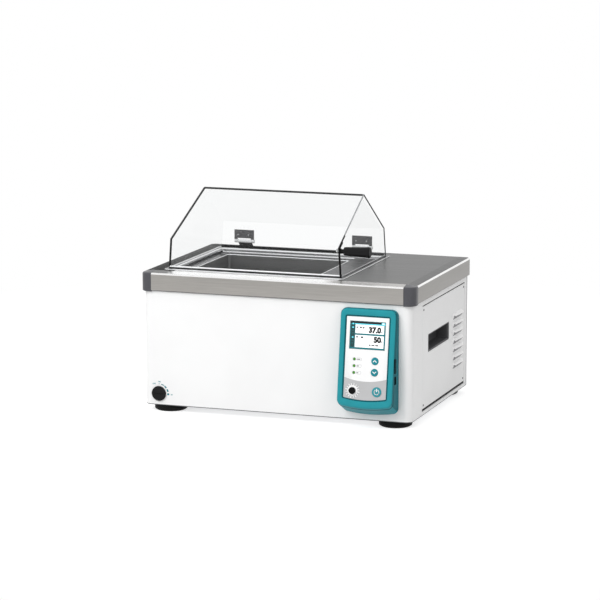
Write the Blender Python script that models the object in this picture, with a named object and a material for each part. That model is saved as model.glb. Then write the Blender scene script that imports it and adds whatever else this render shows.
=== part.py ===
"""A bench-top shaking water bath, modelled in metres.

+Z is up, the front faces -Y, and +X is to the right of someone facing the bath. The origin
is the middle of the bounding box, on the surface that the feet stand on. Inside the casing,
a gear motor turns a crank disc, whose rod pushes a magnet carriage to and fro under the
tank, and the carriage pulls the shaker tray along through the tank floor.
"""

from math import cos, pi, radians, sin, sqrt

import bmesh
import bpy
from mathutils import Matrix

# Clearances and sheets shared by the whole bath
gap = 0.0003
overrun = 0.004
crease = 0.0006
sheet = 0.0012
bore_clearance = 0.00015

# Counts of points on round shapes
corner_steps = 4
casing_steps = 8
round_sides = 24
small_sides = 12
foot_sides = 32
bow_steps = 6

# Deck cover
deck_width = 0.530
deck_depth = 0.367
deck_sheet = 0.0015
band_height = 0.0335
margin_width = 0.0187
margin_rise = 0.003
deck_rear_radius = 0.0105
cap_size = 0.0212
cap_radius = 0.0145
cap_drop = 0.001

# Casing
overhang_left = 0.0040
overhang_right = 0.0061
overhang_front = 0.0047
overhang_back = 0.005
casing_radius = 0.0145
foot_height = 0.012
foot_radius = 0.0305
foot_top_radius = 0.0292
foot_tread_radius = 0.0265
foot_side_inset = 0.0456
base_flange = 0.008
window_front_inset = 0.0645
window_back_inset = 0.017
window_top_drop = 0.0105
window_bottom_rise = 0.0075
seam = 0.0004
lower_seam = 0.0018

# Hand hold in each side panel
hold_place_share = 0.4724
hold_length = 0.136
hold_height = 0.0335
hold_drop = 0.1026
hold_depth = 0.028
hold_wall = 0.002

# Louvres of the right side panel
louvre_count = 7
louvre_pitch = 0.0157
louvre_length = 0.060
louvre_height = 0.0112
louvre_bulge = 0.0045
louvre_sheet = 0.001
louvre_slot = 0.0045
louvre_back_inset = 0.036
louvre_top_drop = 0.0925

# Rim, ledge and basin of the tank
rim_left_inset = 0.036
rim_front_inset = 0.029
rim_length = 0.350
rim_depth = 0.283
rim_width = 0.010
rim_radius = 0.005
recess_drop = 0.009
recess_radius = 0.006
ledge_width = 0.021
drive_ledge_width = 0.064
basin_depth = 0.1455
basin_radius = 0.006
basin_fillet = 0.005

# Lid
lid_wall = 0.004
lid_end_inset = 0.007
lid_front_inset = 0.004
lid_back_inset = 0.007
lid_front_eave = 0.0562
lid_back_eave = 0.0537
lid_ridge_height = 0.1327
lid_ridge_share = 0.594
lid_draft_share = 0.0626

# Lid hinges
hinge_offset = 0.120
hinge_width = 0.040
hinge_plate = 0.002
leaf_height = 0.014
leaf_rise = 0.0215
knuckle_radius = 0.0035
hinge_pin_radius = 0.0015
knuckle_length = 0.006
pin_rise = 0.0132
bracket_reach = 0.0185
bracket_foot = 0.008
bracket_foot_sheet = 0.0015

# Lid handle
grip_front_inset = 0.0085
grip_drop = 0.0078
grip_length = 0.050
grip_inner_radius = 0.007
grip_outer_radius = 0.010
grip_bore_depth = 0.014
stud_radius = 0.0025
stud_head_radius = 0.004
stud_head_length = 0.0025
stud_neck = 0.0075

# Shaker tray and its rails
tray_sheet = 0.0015
tray_lip = 0.0145
tray_radius = 0.010
stroke = 0.0125
tray_end_clearance = 0.004
tray_side_clearance = 0.011
rail_height = 0.009
rail_width = 0.008
rail_inset = 0.020
rail_end_inset = 0.012
tray_magnet_height = 0.008
magnet_length = 0.060
magnet_width = 0.110
hole_radius = 0.008
hole_rows = 4
hole_columns = 5
hole_margin = 0.030

# Drive under the tank
motor_height = 0.038
motor_radius = 0.028
motor_boss_radius = 0.008
motor_boss_height = 0.0015
disc_clearance = 0.0027
shaft_radius = 0.004
disc_thickness = 0.008
disc_radius = 0.024
crank_pin_radius = 0.004
crank_pin_overhang = 0.002
rod_length = 0.080
rod_thickness = 0.006
rod_width = 0.010
rod_eye_radius = 0.009
carriage_pin_length = 0.0134
carriage_length = 0.080
carriage_width = 0.130
carriage_thickness = 0.015
carriage_magnet_height = 0.0067
magnet_air_gap = 0.0018
guide_radius = 0.005
guide_offset = 0.050
post_thickness = 0.006
post_width = 0.020
post_head = 0.010
post_clearance = 0.002
frame_sheet = 0.003
frame_margin = 0.008
carriage_pin_inset = 0.022

# Heating foils on the tank
foil_thickness = 0.0015
foil_height = 0.085
foil_side_inset = 0.025
foil_rise = 0.030

# Drain at the rear
drain_inset = 0.030
drain_pipe_radius = 0.007
drain_pipe_bore = 0.0045
drain_drop = 0.030
drain_bend_radius = 0.012
drain_bend_steps = 5
drain_flange_radius = 0.011
drain_flange_thickness = 0.002
drain_reach = 0.040
valve_radius = 0.010
valve_length = 0.022
valve_stand = 0.003
spout_radius = 0.0055
lever_length = 0.036
lever_width = 0.008
lever_thickness = 0.003
stem_radius = 0.004
stem_height = 0.005

# Control panel housing
panel_right_inset = 0.0321
panel_width = 0.1044
panel_drop = 0.042
panel_top_reach = 0.012
panel_tilt = radians(8.5)
panel_face_length = 0.1750
panel_bow = 0.0035
panel_base_length = 0.1915
panel_radius = 0.012
panel_draft = 0.0015
panel_wall = 0.0025
panel_border = 0.0097
panel_border_top = 0.0113
panel_border_bottom = 0.0125
plate_radius = 0.004
plate_recess = 0.0012
plate_thickness = 0.002
wire_hole_width = 0.050
wire_hole_height = 0.070
wire_hole_drop = 0.070

# What sits in the face plate. A drop runs down the slope, and a rise up from its lower edge
screen_width = 0.0668
screen_height = 0.0502
screen_drop = 0.0469
screen_recess = 0.0002
lamp_offset = 0.0225
lamp_drops = (0.0904, 0.1025, 0.1147)
lamp_radius = 0.0023
lamp_dome = 0.0006
key_offset = 0.0165
key_drops = (0.0922, 0.1127)
key_radius = 0.0067
key_travel = 0.0008
key_stand = 0.0012
power_offset = 0.0225
power_rise = 0.0276
power_radius = 0.009
key_cap_thickness = 0.002
key_stem_radius = 0.0025
jog_offset = 0.0232
jog_rise = 0.0278
jog_radius = 0.0063
jog_height = 0.0045
jog_travel = 0.0005
encoder_radius = 0.003
encoder_sleeve_radius = 0.005
encoder_sleeve_height = 0.004
board_depth = 0.008
board_sheet = 0.0016
board_width = 0.068
board_top = 0.0125
board_rise = 0.0135
pillar_radius = 0.0025
pillar_inset = 0.004

# Socket in the right side of the panel housing
port_width = 0.008
port_height = 0.0145
port_depth = 0.012
port_wall = 0.0015
port_drop = 0.1257
port_reach = 0.019
port_hole_margin = 0.0003

# Over-temperature dial
limit_left = 0.0298
limit_height = 0.022
limit_radius = 0.014
limit_thickness = 0.003
limit_slot_width = 0.0022
limit_slot_depth = 0.0016
limit_slot_length = 0.020
limit_shaft_radius = 0.003
limit_body_radius = 0.009
limit_body_length = 0.026
limit_shaft_reach = 0.010

# Electrical pieces at the back
inlet_right = 0.060
inlet_height = 0.045
inlet_width = 0.028
inlet_tall = 0.048
inlet_depth = 0.024
inlet_flange = 0.004
inlet_flange_sheet = 0.002
inlet_recess_width = 0.022
inlet_recess_height = 0.016
inlet_recess_depth = 0.016
inlet_recess_rise = 0.010
fan_size = 0.060
fan_depth = 0.015
fan_right = 0.062
fan_height = 0.150
fan_bore_radius = 0.0275
fan_hub_radius = 0.0095
fan_hub_length = 0.003
fan_blade_radius = 0.0265
fan_blade_sheet = 0.0012
fan_blade_length = 0.009
fan_blade_pitch = radians(35)
fan_strut_width = 0.003
fan_blades = 7
fan_slot_height = 0.004
fan_slot_pitch = 0.009
fan_slot_count = 5
fan_slot_length = 0.046
supply_length = 0.110
supply_width = 0.070
supply_height = 0.036
supply_right = 0.030
supply_front = 0.150
supply_terminal = 0.012

# Shares of a size that shape a piece's own curves
louvre_crown_share = 0.72
foot_waist_share = 0.22
foot_shoulder_share = 0.8
grip_fillet_share = 0.25
arm_share = 0.45
motor_edge_share = 0.06
neck_share = 0.6
key_edge_share = 0.25
lamp_dome_share = 0.55
jog_edge_share = 0.15
hub_root_share = 0.9

# Heights, from the feet up
base_bottom = foot_height
base_top = base_bottom + sheet
frame_bottom = base_top + gap
frame_top = frame_bottom + frame_sheet
motor_bottom = frame_top + gap
motor_top = motor_bottom + motor_height
disc_bottom = motor_top + disc_clearance
disc_top = disc_bottom + disc_thickness
rod_bottom = disc_top + gap
rod_top = rod_bottom + rod_thickness
carriage_pin_bottom = rod_top + gap
carriage_bottom = carriage_pin_bottom + carriage_pin_length
carriage_top = carriage_bottom + carriage_thickness
guide_z = carriage_bottom + carriage_thickness / 2
under_magnet_bottom = carriage_top + gap
under_magnet_top = under_magnet_bottom + carriage_magnet_height
basin_bottom = under_magnet_top + magnet_air_gap
basin_floor = basin_bottom + sheet
ledge_z = basin_floor + basin_depth
rim_top = ledge_z + recess_drop
flat_top = rim_top - sheet - gap
band_top = flat_top - margin_rise
band_bottom = band_top - band_height
casing_top = band_top - deck_sheet - gap

# Places in plan. The middle of the deck lies off the origin by half the difference
# between what stands out in front of the deck, the jog dial's lower edge, and what stands
# out behind it, the drain spout.
power_drop = panel_face_length - power_rise
jog_drop = panel_face_length - jog_rise
board_length = panel_face_length - board_top - board_rise
jog_out = jog_travel + gap + jog_height - plate_recess
jog_low = jog_drop + jog_radius * (1 - jog_edge_share)
panel_front_reach = panel_top_reach + jog_low * sin(panel_tilt) + jog_out * cos(panel_tilt)
front_reach = panel_front_reach - overhang_front
rear_reach = drain_reach - overhang_back
deck_left = -deck_width / 2
deck_right = deck_width / 2
deck_front = (front_reach - rear_reach - deck_depth) / 2
deck_back = deck_front + deck_depth
body_left = deck_left + overhang_left
body_right = deck_right - overhang_right
body_front = deck_front + overhang_front
body_back = deck_back - overhang_back
rim_left = deck_left + rim_left_inset
rim_right = rim_left + rim_length
rim_front = deck_front + rim_front_inset
rim_back = rim_front + rim_depth
recess_left = rim_left + rim_width
recess_right = rim_right - rim_width
recess_front = rim_front + rim_width
recess_back = rim_back - rim_width
basin_left = recess_left + ledge_width
basin_right = recess_right - drive_ledge_width
basin_front = recess_front + ledge_width
basin_back = recess_back - ledge_width
basin_x = (basin_left + basin_right) / 2
basin_y = (basin_front + basin_back) / 2
lid_left = rim_left + lid_end_inset
lid_right = rim_right - lid_end_inset
lid_front = rim_front + lid_front_inset
lid_back = rim_back - lid_back_inset
lid_x = (lid_left + lid_right) / 2
lid_bottom = rim_top + gap
lid_ridge_y = lid_front + (lid_back - lid_front) * lid_ridge_share
hinge_y = lid_back + knuckle_radius + gap
hinge_z = lid_bottom + pin_rise
carriage_pin_x = basin_x + carriage_length / 2 - carriage_pin_inset
crank_x = carriage_pin_x + sqrt(rod_length**2 - stroke**2)
panel_right = deck_right - panel_right_inset
panel_left = panel_right - panel_width
panel_x = (panel_left + panel_right) / 2
panel_top = band_top - panel_drop
panel_face_y = body_front - panel_top_reach
plate_front = -plate_recess
plate_back = plate_front - plate_thickness
board_front = -board_depth


def clear_scene():
    for thing in list(bpy.data.objects):
        bpy.data.objects.remove(thing, do_unlink=True)


def material(name, colour, roughness, metallic=0.0, alpha=1.0):
    made = bpy.data.materials.new(name)
    made.use_nodes = True
    shader = made.node_tree.nodes["Principled BSDF"]
    shader.inputs["Base Color"].default_value = (*colour, 1.0)
    shader.inputs["Roughness"].default_value = roughness
    shader.inputs["Metallic"].default_value = metallic
    shader.inputs["Alpha"].default_value = alpha
    return made


def mesh_from(points, faces, origin):
    """A mesh about its own origin, with its faces pointing out."""
    grid = bmesh.new()
    corners = [grid.verts.new([a - b for a, b in zip(point, origin)]) for point in points]
    for face in faces:
        grid.faces.new([corners[index] for index in face])
    bmesh.ops.recalc_face_normals(grid, faces=grid.faces)
    if grid.calc_volume(signed=True) < 0:
        bmesh.ops.reverse_faces(grid, faces=grid.faces)
    mesh = bpy.data.meshes.new("mesh")
    grid.to_mesh(mesh)
    grid.free()
    return mesh


def piece(name, shape, finish, origin=(0, 0, 0), parent=None, smooth=False):
    """One sub-part from (points, faces), placed at the origin that it turns or slides about."""
    points, faces = shape
    mesh = mesh_from(points, faces, origin)
    mesh.name = name
    if smooth:
        mesh.shade_smooth()
        mesh.set_sharp_from_angle(angle=radians(40))
    thing = bpy.data.objects.new(name, mesh)
    thing.location = origin
    thing.parent = parent
    thing.data.materials.append(finish)
    bpy.context.scene.collection.objects.link(thing)
    return thing


def helper(name, shape, parent=None):
    """A hidden shape that a Boolean uses."""
    thing = piece(name, shape, helper_finish, parent=parent)
    thing.hide_render = True
    thing.display_type = "WIRE"
    return thing


def boolean(thing, operation, *shapes, parent=None):
    for shape in shapes:
        tool = helper(f"{thing.name}_tool_{len(thing.modifiers)}", shape, parent)
        modifier = thing.modifiers.new(operation.title(), "BOOLEAN")
        modifier.operation = operation
        modifier.solver = "EXACT"
        modifier.object = tool
    return thing


def cut(thing, *shapes, parent=None):
    return boolean(thing, "DIFFERENCE", *shapes, parent=parent)


def fuse(thing, *shapes, parent=None):
    return boolean(thing, "UNION", *shapes, parent=parent)


def merged(*shapes):
    """Several shapes as one, for a tool made of separate bodies."""
    points = []
    faces = []
    for more_points, more_faces in shapes:
        start = len(points)
        points += list(more_points)
        faces += [[index + start for index in face] for face in more_faces]
    return points, faces


def between(loops, ring=False):
    """Loops of equal length joined in turn: closed by caps, or back to the first loop."""
    count = len(loops[0])
    points = [point for loop in loops for point in loop]
    pairs = [(index, index + 1) for index in range(len(loops) - 1)]
    if ring:
        pairs.append((len(loops) - 1, 0))
    faces = []
    for low, high in pairs:
        for step in range(count):
            after = (step + 1) % count
            face = (low * count + step, low * count + after, high * count + after, high * count + step)
            faces.append(face)
    if not ring:
        faces.append(tuple(range(count)))
        faces.append(tuple(range((len(loops) - 1) * count, len(loops) * count)))
    return points, faces


def rounded(left, right, front, back, radii, steps=corner_steps):
    """A rectangle's outline with its own radius at front right, back right, back left, front left."""
    corners = ((right, front, 1, -1), (right, back, 1, 1), (left, back, -1, 1), (left, front, -1, -1))
    outline = []
    for number, (x, y, side_x, side_y) in enumerate(corners):
        radius = max(radii[number], crease)
        for step in range(steps + 1):
            angle = (number - 1 + step / steps) * pi / 2
            centre_x = x - side_x * radius
            centre_y = y - side_y * radius
            outline.append((centre_x + radius * cos(angle), centre_y + radius * sin(angle)))
    return outline


def level(outline, z):
    return [(x, y, z) for x, y in outline]


def along_x(outline, x):
    return [(x, y, z) for y, z in outline]


def along_y(outline, y):
    return [(x, y, z) for x, z in outline]


def block(left, right, front, back, low, high):
    outline = [(left, front), (right, front), (right, back), (left, back)]
    return between([level(outline, low), level(outline, high)])


def turned(profile, centre, axis="Z", sides=round_sides, ring=False):
    """A profile of (radius, distance) turned about an axis through the centre."""
    loops = []
    for radius, distance in profile:
        loop = []
        for step in range(sides):
            angle = 2 * pi * step / sides
            first = radius * cos(angle)
            second = radius * sin(angle)
            if axis == "Z":
                offset = (first, second, distance)
            elif axis == "Y":
                offset = (first, distance, second)
            else:
                offset = (distance, first, second)
            loop.append(tuple(a + b for a, b in zip(centre, offset)))
        loops.append(loop)
    return between(loops, ring)


def rod(radius, low, high, centre, axis="Z", sides=round_sides):
    return turned([(radius, low), (radius, high)], centre, axis, sides)


def make_deck():
    """The stainless cover: band, sloped margin, flat top with the tank cut-out, and a hem."""

    def outline(inset, radius_loss=0.0):
        front = cap_radius - radius_loss
        rear = deck_rear_radius - radius_loss
        return rounded(
            deck_left + inset,
            deck_right - inset,
            deck_front + inset,
            deck_back - inset,
            [front, rear, rear, front],
        )

    hole = rounded(
        recess_left - sheet - gap,
        recess_right + sheet + gap,
        recess_front - sheet - gap,
        recess_back + sheet + gap,
        [recess_radius + sheet] * 4,
    )
    hem = rounded(
        body_left - gap,
        body_right + gap,
        body_front - gap,
        body_back + gap,
        [crease] * 4,
    )
    loops = [
        level(outline(0.0), band_bottom),
        level(outline(0.0), band_top),
        level(outline(margin_width, margin_width), flat_top),
        level(hole, flat_top),
        level(hole, flat_top - deck_sheet),
        level(outline(margin_width, margin_width), flat_top - deck_sheet),
        level(outline(deck_sheet, deck_sheet), band_top - deck_sheet),
        level(outline(deck_sheet, deck_sheet), band_bottom + deck_sheet),
        level(hem, band_bottom + deck_sheet),
        level(hem, band_bottom),
    ]
    deck = piece("deck_cover", between(loops, ring=True), steel_finish)
    reach = cap_size + gap
    front = deck_front - overrun
    back = deck_front + reach
    low = band_bottom - overrun
    high = flat_top + overrun
    cut(
        deck,
        block(deck_left - overrun, deck_left + reach, front, back, low, high),
        block(deck_right - reach, deck_right + overrun, front, back, low, high),
    )


def make_corner_cap(name, side):
    """Moulded cap over a front corner of the deck: side is 1 at the right and -1 at the left."""
    edge = deck_right * side
    inner = edge - side * cap_size
    back = deck_front + cap_size
    outline = [(inner, back), (inner, deck_front)]
    for step in range(casing_steps + 1):
        angle = step / casing_steps * pi / 2
        x = edge - side * cap_radius * (1 - sin(angle))
        y = deck_front + cap_radius * (1 - cos(angle))
        outline.append((x, y))
    outline.append((edge, back))
    low = level(outline, band_bottom - cap_drop)
    high = level(outline, band_top)
    high[0] = (inner, back, flat_top)
    points = low + high
    count = len(outline)
    faces = [(a, (a + 1) % count, count + (a + 1) % count, count + a) for a in range(count)]
    faces.append(tuple(range(count)))
    faces += [(count, count + a, count + a + 1) for a in range(1, count - 1)]
    cap = piece(name, (points, faces), cap_finish)
    hollow = rounded(
        body_left - gap,
        body_right + gap,
        body_front - gap,
        body_back,
        [casing_radius + gap] * 4,
        casing_steps,
    )
    cut(cap, between([level(hollow, band_bottom - overrun), level(hollow, casing_top + gap)]))


def make_wrap():
    """The white front sheet, bent back round both vertical corners to the rear edge."""

    def bent(inset):
        radius = casing_radius - inset
        path = [(body_left + inset, body_back)]
        for step in range(casing_steps + 1):
            angle = pi + step / casing_steps * pi / 2
            centre_x = body_left + casing_radius
            centre_y = body_front + casing_radius
            path.append((centre_x + radius * cos(angle), centre_y + radius * sin(angle)))
        for step in range(casing_steps + 1):
            angle = 3 * pi / 2 + step / casing_steps * pi / 2
            centre_x = body_right - casing_radius
            centre_y = body_front + casing_radius
            path.append((centre_x + radius * cos(angle), centre_y + radius * sin(angle)))
        path.append((body_right - inset, body_back))
        return path

    outline = bent(0.0) + bent(sheet)[::-1]
    shape = between([level(outline, base_bottom), level(outline, casing_top)])
    wrap = piece("front_wrap", shape, white_finish)
    front = body_front + window_front_inset
    back = body_back - window_back_inset
    low = base_bottom + window_bottom_rise
    high = band_bottom - window_top_drop
    limit_x = body_left + limit_left
    limit_z = base_bottom + limit_height
    wires_top = panel_top - wire_hole_drop
    cut(
        wrap,
        block(body_left - overrun, body_left + overrun, front, back, low, high),
        block(body_right - overrun, body_right + overrun, front, back, low, high),
        block(
            panel_x - wire_hole_width / 2,
            panel_x + wire_hole_width / 2,
            body_front - overrun,
            body_front + overrun,
            wires_top - wire_hole_height,
            wires_top,
        ),
        rod(
            limit_shaft_radius + gap,
            -overrun,
            overrun,
            (limit_x, body_front, limit_z),
            "Y",
        ),
    )


def hold_box():
    """Front, back, low and high edge of a hand hold."""
    front = body_front + (body_back - body_front) * hold_place_share - hold_length / 2
    high = band_top - hold_drop
    return front, front + hold_length, high - hold_height, high


def louvre_shapes(face):
    """The hoods, and the hollows cut under them, with their open side down."""
    back = body_back - louvre_back_inset
    front = back - louvre_length
    hoods = []
    hollows = []
    for number in range(louvre_count):
        top = band_top - louvre_top_drop - number * louvre_pitch
        bottom = top - louvre_height
        shoulder = bottom + louvre_height / 2
        bulge = face + louvre_bulge
        crown = face + louvre_bulge * louvre_crown_share
        root = face - sheet / 2
        hood = [
            (root, bottom),
            (bulge, bottom),
            (bulge, bottom + louvre_sheet),
            (crown, shoulder),
            (face, top),
            (root, top),
        ]
        behind = face - sheet - overrun
        slot_top = bottom + louvre_slot
        hollow = [
            (face, bottom - overrun),
            (bulge - louvre_sheet, bottom - overrun),
            (bulge - louvre_sheet, bottom + louvre_sheet),
            (crown - louvre_sheet, shoulder - louvre_sheet),
            (behind, slot_top),
            (behind, bottom),
            (face, bottom),
        ]
        hoods.append(between([along_y(hood, front), along_y(hood, back)]))
        inner_front = front + louvre_sheet
        inner_back = back - louvre_sheet
        hollows.append(between([along_y(hollow, inner_front), along_y(hollow, inner_back)]))
    return merged(*hoods), merged(*hollows)


def side_face(side):
    return body_right if side > 0 else body_left


def make_side_panel(name, side):
    """A flush panel in the side window of the wrap, with its hand hold opening."""
    face = side_face(side)
    inner = face - side * sheet
    front = body_front + window_front_inset + seam
    back = body_back - window_back_inset - seam
    low = base_bottom + window_bottom_rise + lower_seam
    high = band_bottom - window_top_drop - seam
    left, right = sorted((face, inner))
    panel = piece(name, block(left, right, front, back, low, high), white_finish)
    hold = hold_box()
    cut(panel, block(left - overrun, right + overrun, *hold))
    if side > 0:
        hoods, hollows = louvre_shapes(face)
        fuse(panel, hoods)
        cut(panel, hollows)


def make_hand_hold(name, side):
    """The black moulded cup behind the hand hold opening."""
    front, back, low, high = hold_box()
    mouth = side_face(side) - side * gap
    end = mouth - side * hold_depth
    floor = end + side * hold_wall

    def outline(inset):
        edge = gap + inset
        return [
            (front + edge, low + edge),
            (back - edge, low + edge),
            (back - edge, high - edge),
            (front + edge, high - edge),
        ]

    loops = [
        along_x(outline(0.0), end),
        along_x(outline(0.0), mouth),
        along_x(outline(hold_wall), mouth),
        along_x(outline(hold_wall), floor),
    ]
    piece(name, between(loops), black_finish)


def make_base():
    """The base pan, with a low flange inside the wrap."""
    clear = sheet + gap

    def outline(inset):
        edge = clear + inset
        radius = casing_radius - edge
        return rounded(
            body_left + edge,
            body_right - edge,
            body_front + edge,
            body_back - edge,
            [radius, crease, crease, radius],
        )

    loops = [
        level(outline(0.0), base_bottom),
        level(outline(0.0), base_bottom + base_flange),
        level(outline(sheet), base_bottom + base_flange),
        level(outline(sheet), base_top),
    ]
    piece("base_pan", between(loops), zinc_finish)


def make_foot(name, x, y):
    top = foot_height - gap
    profile = [
        (foot_tread_radius, 0.0),
        (foot_radius, foot_height * foot_waist_share),
        (foot_radius, foot_height * foot_shoulder_share),
        (foot_top_radius, top),
    ]
    piece(name, turned(profile, (x, y, 0.0), sides=foot_sides), black_finish, smooth=True)


def make_feet():
    left = deck_left + foot_side_inset
    right = deck_right - foot_side_inset
    front = body_front + foot_radius
    back = body_back - foot_radius
    make_foot("foot_front_left", left, front)
    make_foot("foot_front_right", right, front)
    make_foot("foot_rear_left", left, back)
    make_foot("foot_rear_right", right, back)


def rear_edges():
    return body_back - sheet, body_back


def make_rear_panel():
    """The back sheet between the wrap's ends, pierced for the drain, the inlet and the fan."""
    front, back = rear_edges()
    clear = sheet + gap
    shape = block(body_left + clear, body_right - clear, front, back, base_bottom, casing_top)
    panel = piece("rear_panel", shape, white_finish)
    fan_x = body_right - fan_right
    fan_z = base_bottom + fan_height
    half = (fan_slot_count - 1) / 2
    slots = []
    for number in range(fan_slot_count):
        z = fan_z + (number - half) * fan_slot_pitch
        low = z - fan_slot_height / 2
        high = low + fan_slot_height
        left = fan_x - fan_slot_length / 2
        right = left + fan_slot_length
        slots.append(block(left, right, front - overrun, back + overrun, low, high))
    inlet_x = body_right - inlet_right
    inlet_z = base_bottom + inlet_height
    half_width = inlet_width / 2 + gap
    half_tall = inlet_tall / 2 + gap
    inlet = block(
        inlet_x - half_width,
        inlet_x + half_width,
        front - overrun,
        back + overrun,
        inlet_z - half_tall,
        inlet_z + half_tall,
    )
    drain = rod(drain_pipe_radius + gap, -overrun, overrun, (drain_x(), body_back, drain_z()), "Y")
    cut(panel, merged(*slots, inlet, drain))


def drain_x():
    return basin_left + drain_inset


def drain_z():
    return basin_bottom - drain_drop


def make_tank_frame():
    """Rim, recess wall and ledge: one pressed frame that hangs in the deck's cut-out."""

    def frame(left, right, front, back, radius):
        return rounded(left, right, front, back, [radius] * 4)

    rim = frame(rim_left, rim_right, rim_front, rim_back, rim_radius)
    recess = frame(recess_left, recess_right, recess_front, recess_back, recess_radius)
    outer = frame(
        recess_left - sheet,
        recess_right + sheet,
        recess_front - sheet,
        recess_back + sheet,
        recess_radius + sheet,
    )
    mouth = frame(basin_left, basin_right, basin_front, basin_back, basin_radius)
    loops = [
        level(rim, rim_top - sheet),
        level(rim, rim_top),
        level(recess, rim_top),
        level(recess, ledge_z),
        level(mouth, ledge_z),
        level(mouth, ledge_z - sheet),
        level(outer, ledge_z - sheet),
        level(outer, rim_top - sheet),
    ]
    piece("tank_frame", between(loops, ring=True), tank_finish, smooth=True)


def make_basin():
    """The deep tank under the ledge, with a drain hole in its floor."""

    def outline(inset):
        radius = basin_radius - inset
        return rounded(
            basin_left + inset,
            basin_right - inset,
            basin_front + inset,
            basin_back - inset,
            [radius] * 4,
        )

    top = ledge_z - sheet - gap
    loops = []
    for step in range(corner_steps):
        angle = step / corner_steps * pi / 2
        inset = basin_fillet * (1 - sin(angle)) - sheet
        loops.append(level(outline(inset), basin_bottom + basin_fillet * (1 - cos(angle))))
    loops.append(level(outline(-sheet), basin_bottom + basin_fillet))
    loops.append(level(outline(-sheet), top))
    loops.append(level(outline(0.0), top))
    for step in range(corner_steps + 1):
        angle = (1 - step / corner_steps) * pi / 2
        inset = basin_fillet * (1 - sin(angle))
        loops.append(level(outline(inset), basin_floor + basin_fillet * (1 - cos(angle))))
    basin = piece("tank_basin", between(loops), tank_finish, smooth=True)
    y = basin_back - drain_inset
    cut(basin, rod(drain_pipe_radius + gap, -overrun, overrun, (drain_x(), y, basin_floor)))


def lid_section(inset):
    """The gable's (y, z) corners, drawn in by a wall thickness but open at the bottom."""
    front = lid_front + inset
    back = lid_back - inset
    front_eave = lid_bottom + lid_front_eave
    back_eave = lid_bottom + lid_back_eave
    ridge = lid_bottom + lid_ridge_height
    front_slope = (ridge - front_eave) / (lid_ridge_y - lid_front)
    back_slope = (ridge - back_eave) / (lid_back - lid_ridge_y)
    front_fall = inset * sqrt(1 + front_slope**2)
    back_fall = inset * sqrt(1 + back_slope**2)

    def front_roof(y):
        return front_eave + (y - lid_front) * front_slope - front_fall

    def back_roof(y):
        return back_eave + (lid_back - y) * back_slope - back_fall

    shift = (back_fall - front_fall) / (front_slope + back_slope)
    top = lid_ridge_y - shift
    return [
        (front, lid_bottom),
        (front, front_roof(front)),
        (top, front_roof(top)),
        (back, back_roof(back)),
        (back, lid_bottom),
    ]


def lid_end(z, inset):
    """How far the leaning end walls stand in from the lid's lowest edge at this height."""
    return (z - lid_bottom) * lid_draft_share + inset


def make_lid():
    """A clear gable cover of one wall thickness, open below."""
    points = []
    for inset in (0.0, lid_wall):
        section = lid_section(inset)
        points += [(lid_left + lid_end(z, inset), y, z) for y, z in section]
        points += [(lid_right - lid_end(z, inset), y, z) for y, z in section]
    faces = []
    for shell in (0, 10):
        faces.append([shell + index for index in range(5)])
        faces.append([shell + 5 + index for index in range(5)])
        for index in range(4):
            faces.append((shell + index, shell + index + 1, shell + index + 6, shell + index + 5))
    ring = (0, 5, 9, 4)
    for index in range(4):
        first = ring[index]
        second = ring[(index + 1) % 4]
        faces.append((first, second, second + 10, first + 10))
    axis = (lid_x, hinge_y, hinge_z)
    lid = piece("lid", (points, faces), clear_finish, origin=axis)
    x, y, z = grip_root()
    cut(lid, rod(stud_radius + gap, -lid_wall * 2, lid_wall * 2, (x, y, z), "X", small_sides))


def grip_root():
    """Where the handle's axis meets the outside of the right end wall."""
    z = lid_bottom + lid_front_eave - grip_drop
    return lid_right - lid_end(z, 0.0), lid_front + grip_front_inset, z


def make_grip():
    x, y, z = grip_root()
    start = x + stud_neck
    lean = stud_head_radius * lid_draft_share
    head = x - lid_wall - gap - lean
    profile = [
        (stud_head_radius, head - stud_head_length),
        (stud_head_radius, head),
        (stud_radius, head),
        (stud_radius, start + grip_bore_depth - gap),
    ]
    axis = (lid_x, hinge_y, hinge_z)
    stud = turned(profile, (0.0, y, z), "X", small_sides)
    piece("lid_handle_stud", stud, chrome_finish, axis, smooth=True)
    fillet = grip_inner_radius * grip_fillet_share
    bore = stud_radius + bore_clearance * 2
    end = start + grip_length
    outer = [
        (bore, start),
        (grip_inner_radius - fillet, start),
        (grip_inner_radius, start + fillet),
        (grip_outer_radius, end - fillet * 2),
        (grip_outer_radius, end - fillet),
        (grip_outer_radius - fillet, end),
    ]
    inner = [(bore, start + grip_bore_depth)]
    shape = turned(inner + outer, (0.0, y, z), "X")
    piece("lid_handle_grip", shape, black_finish, axis, smooth=True)


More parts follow.
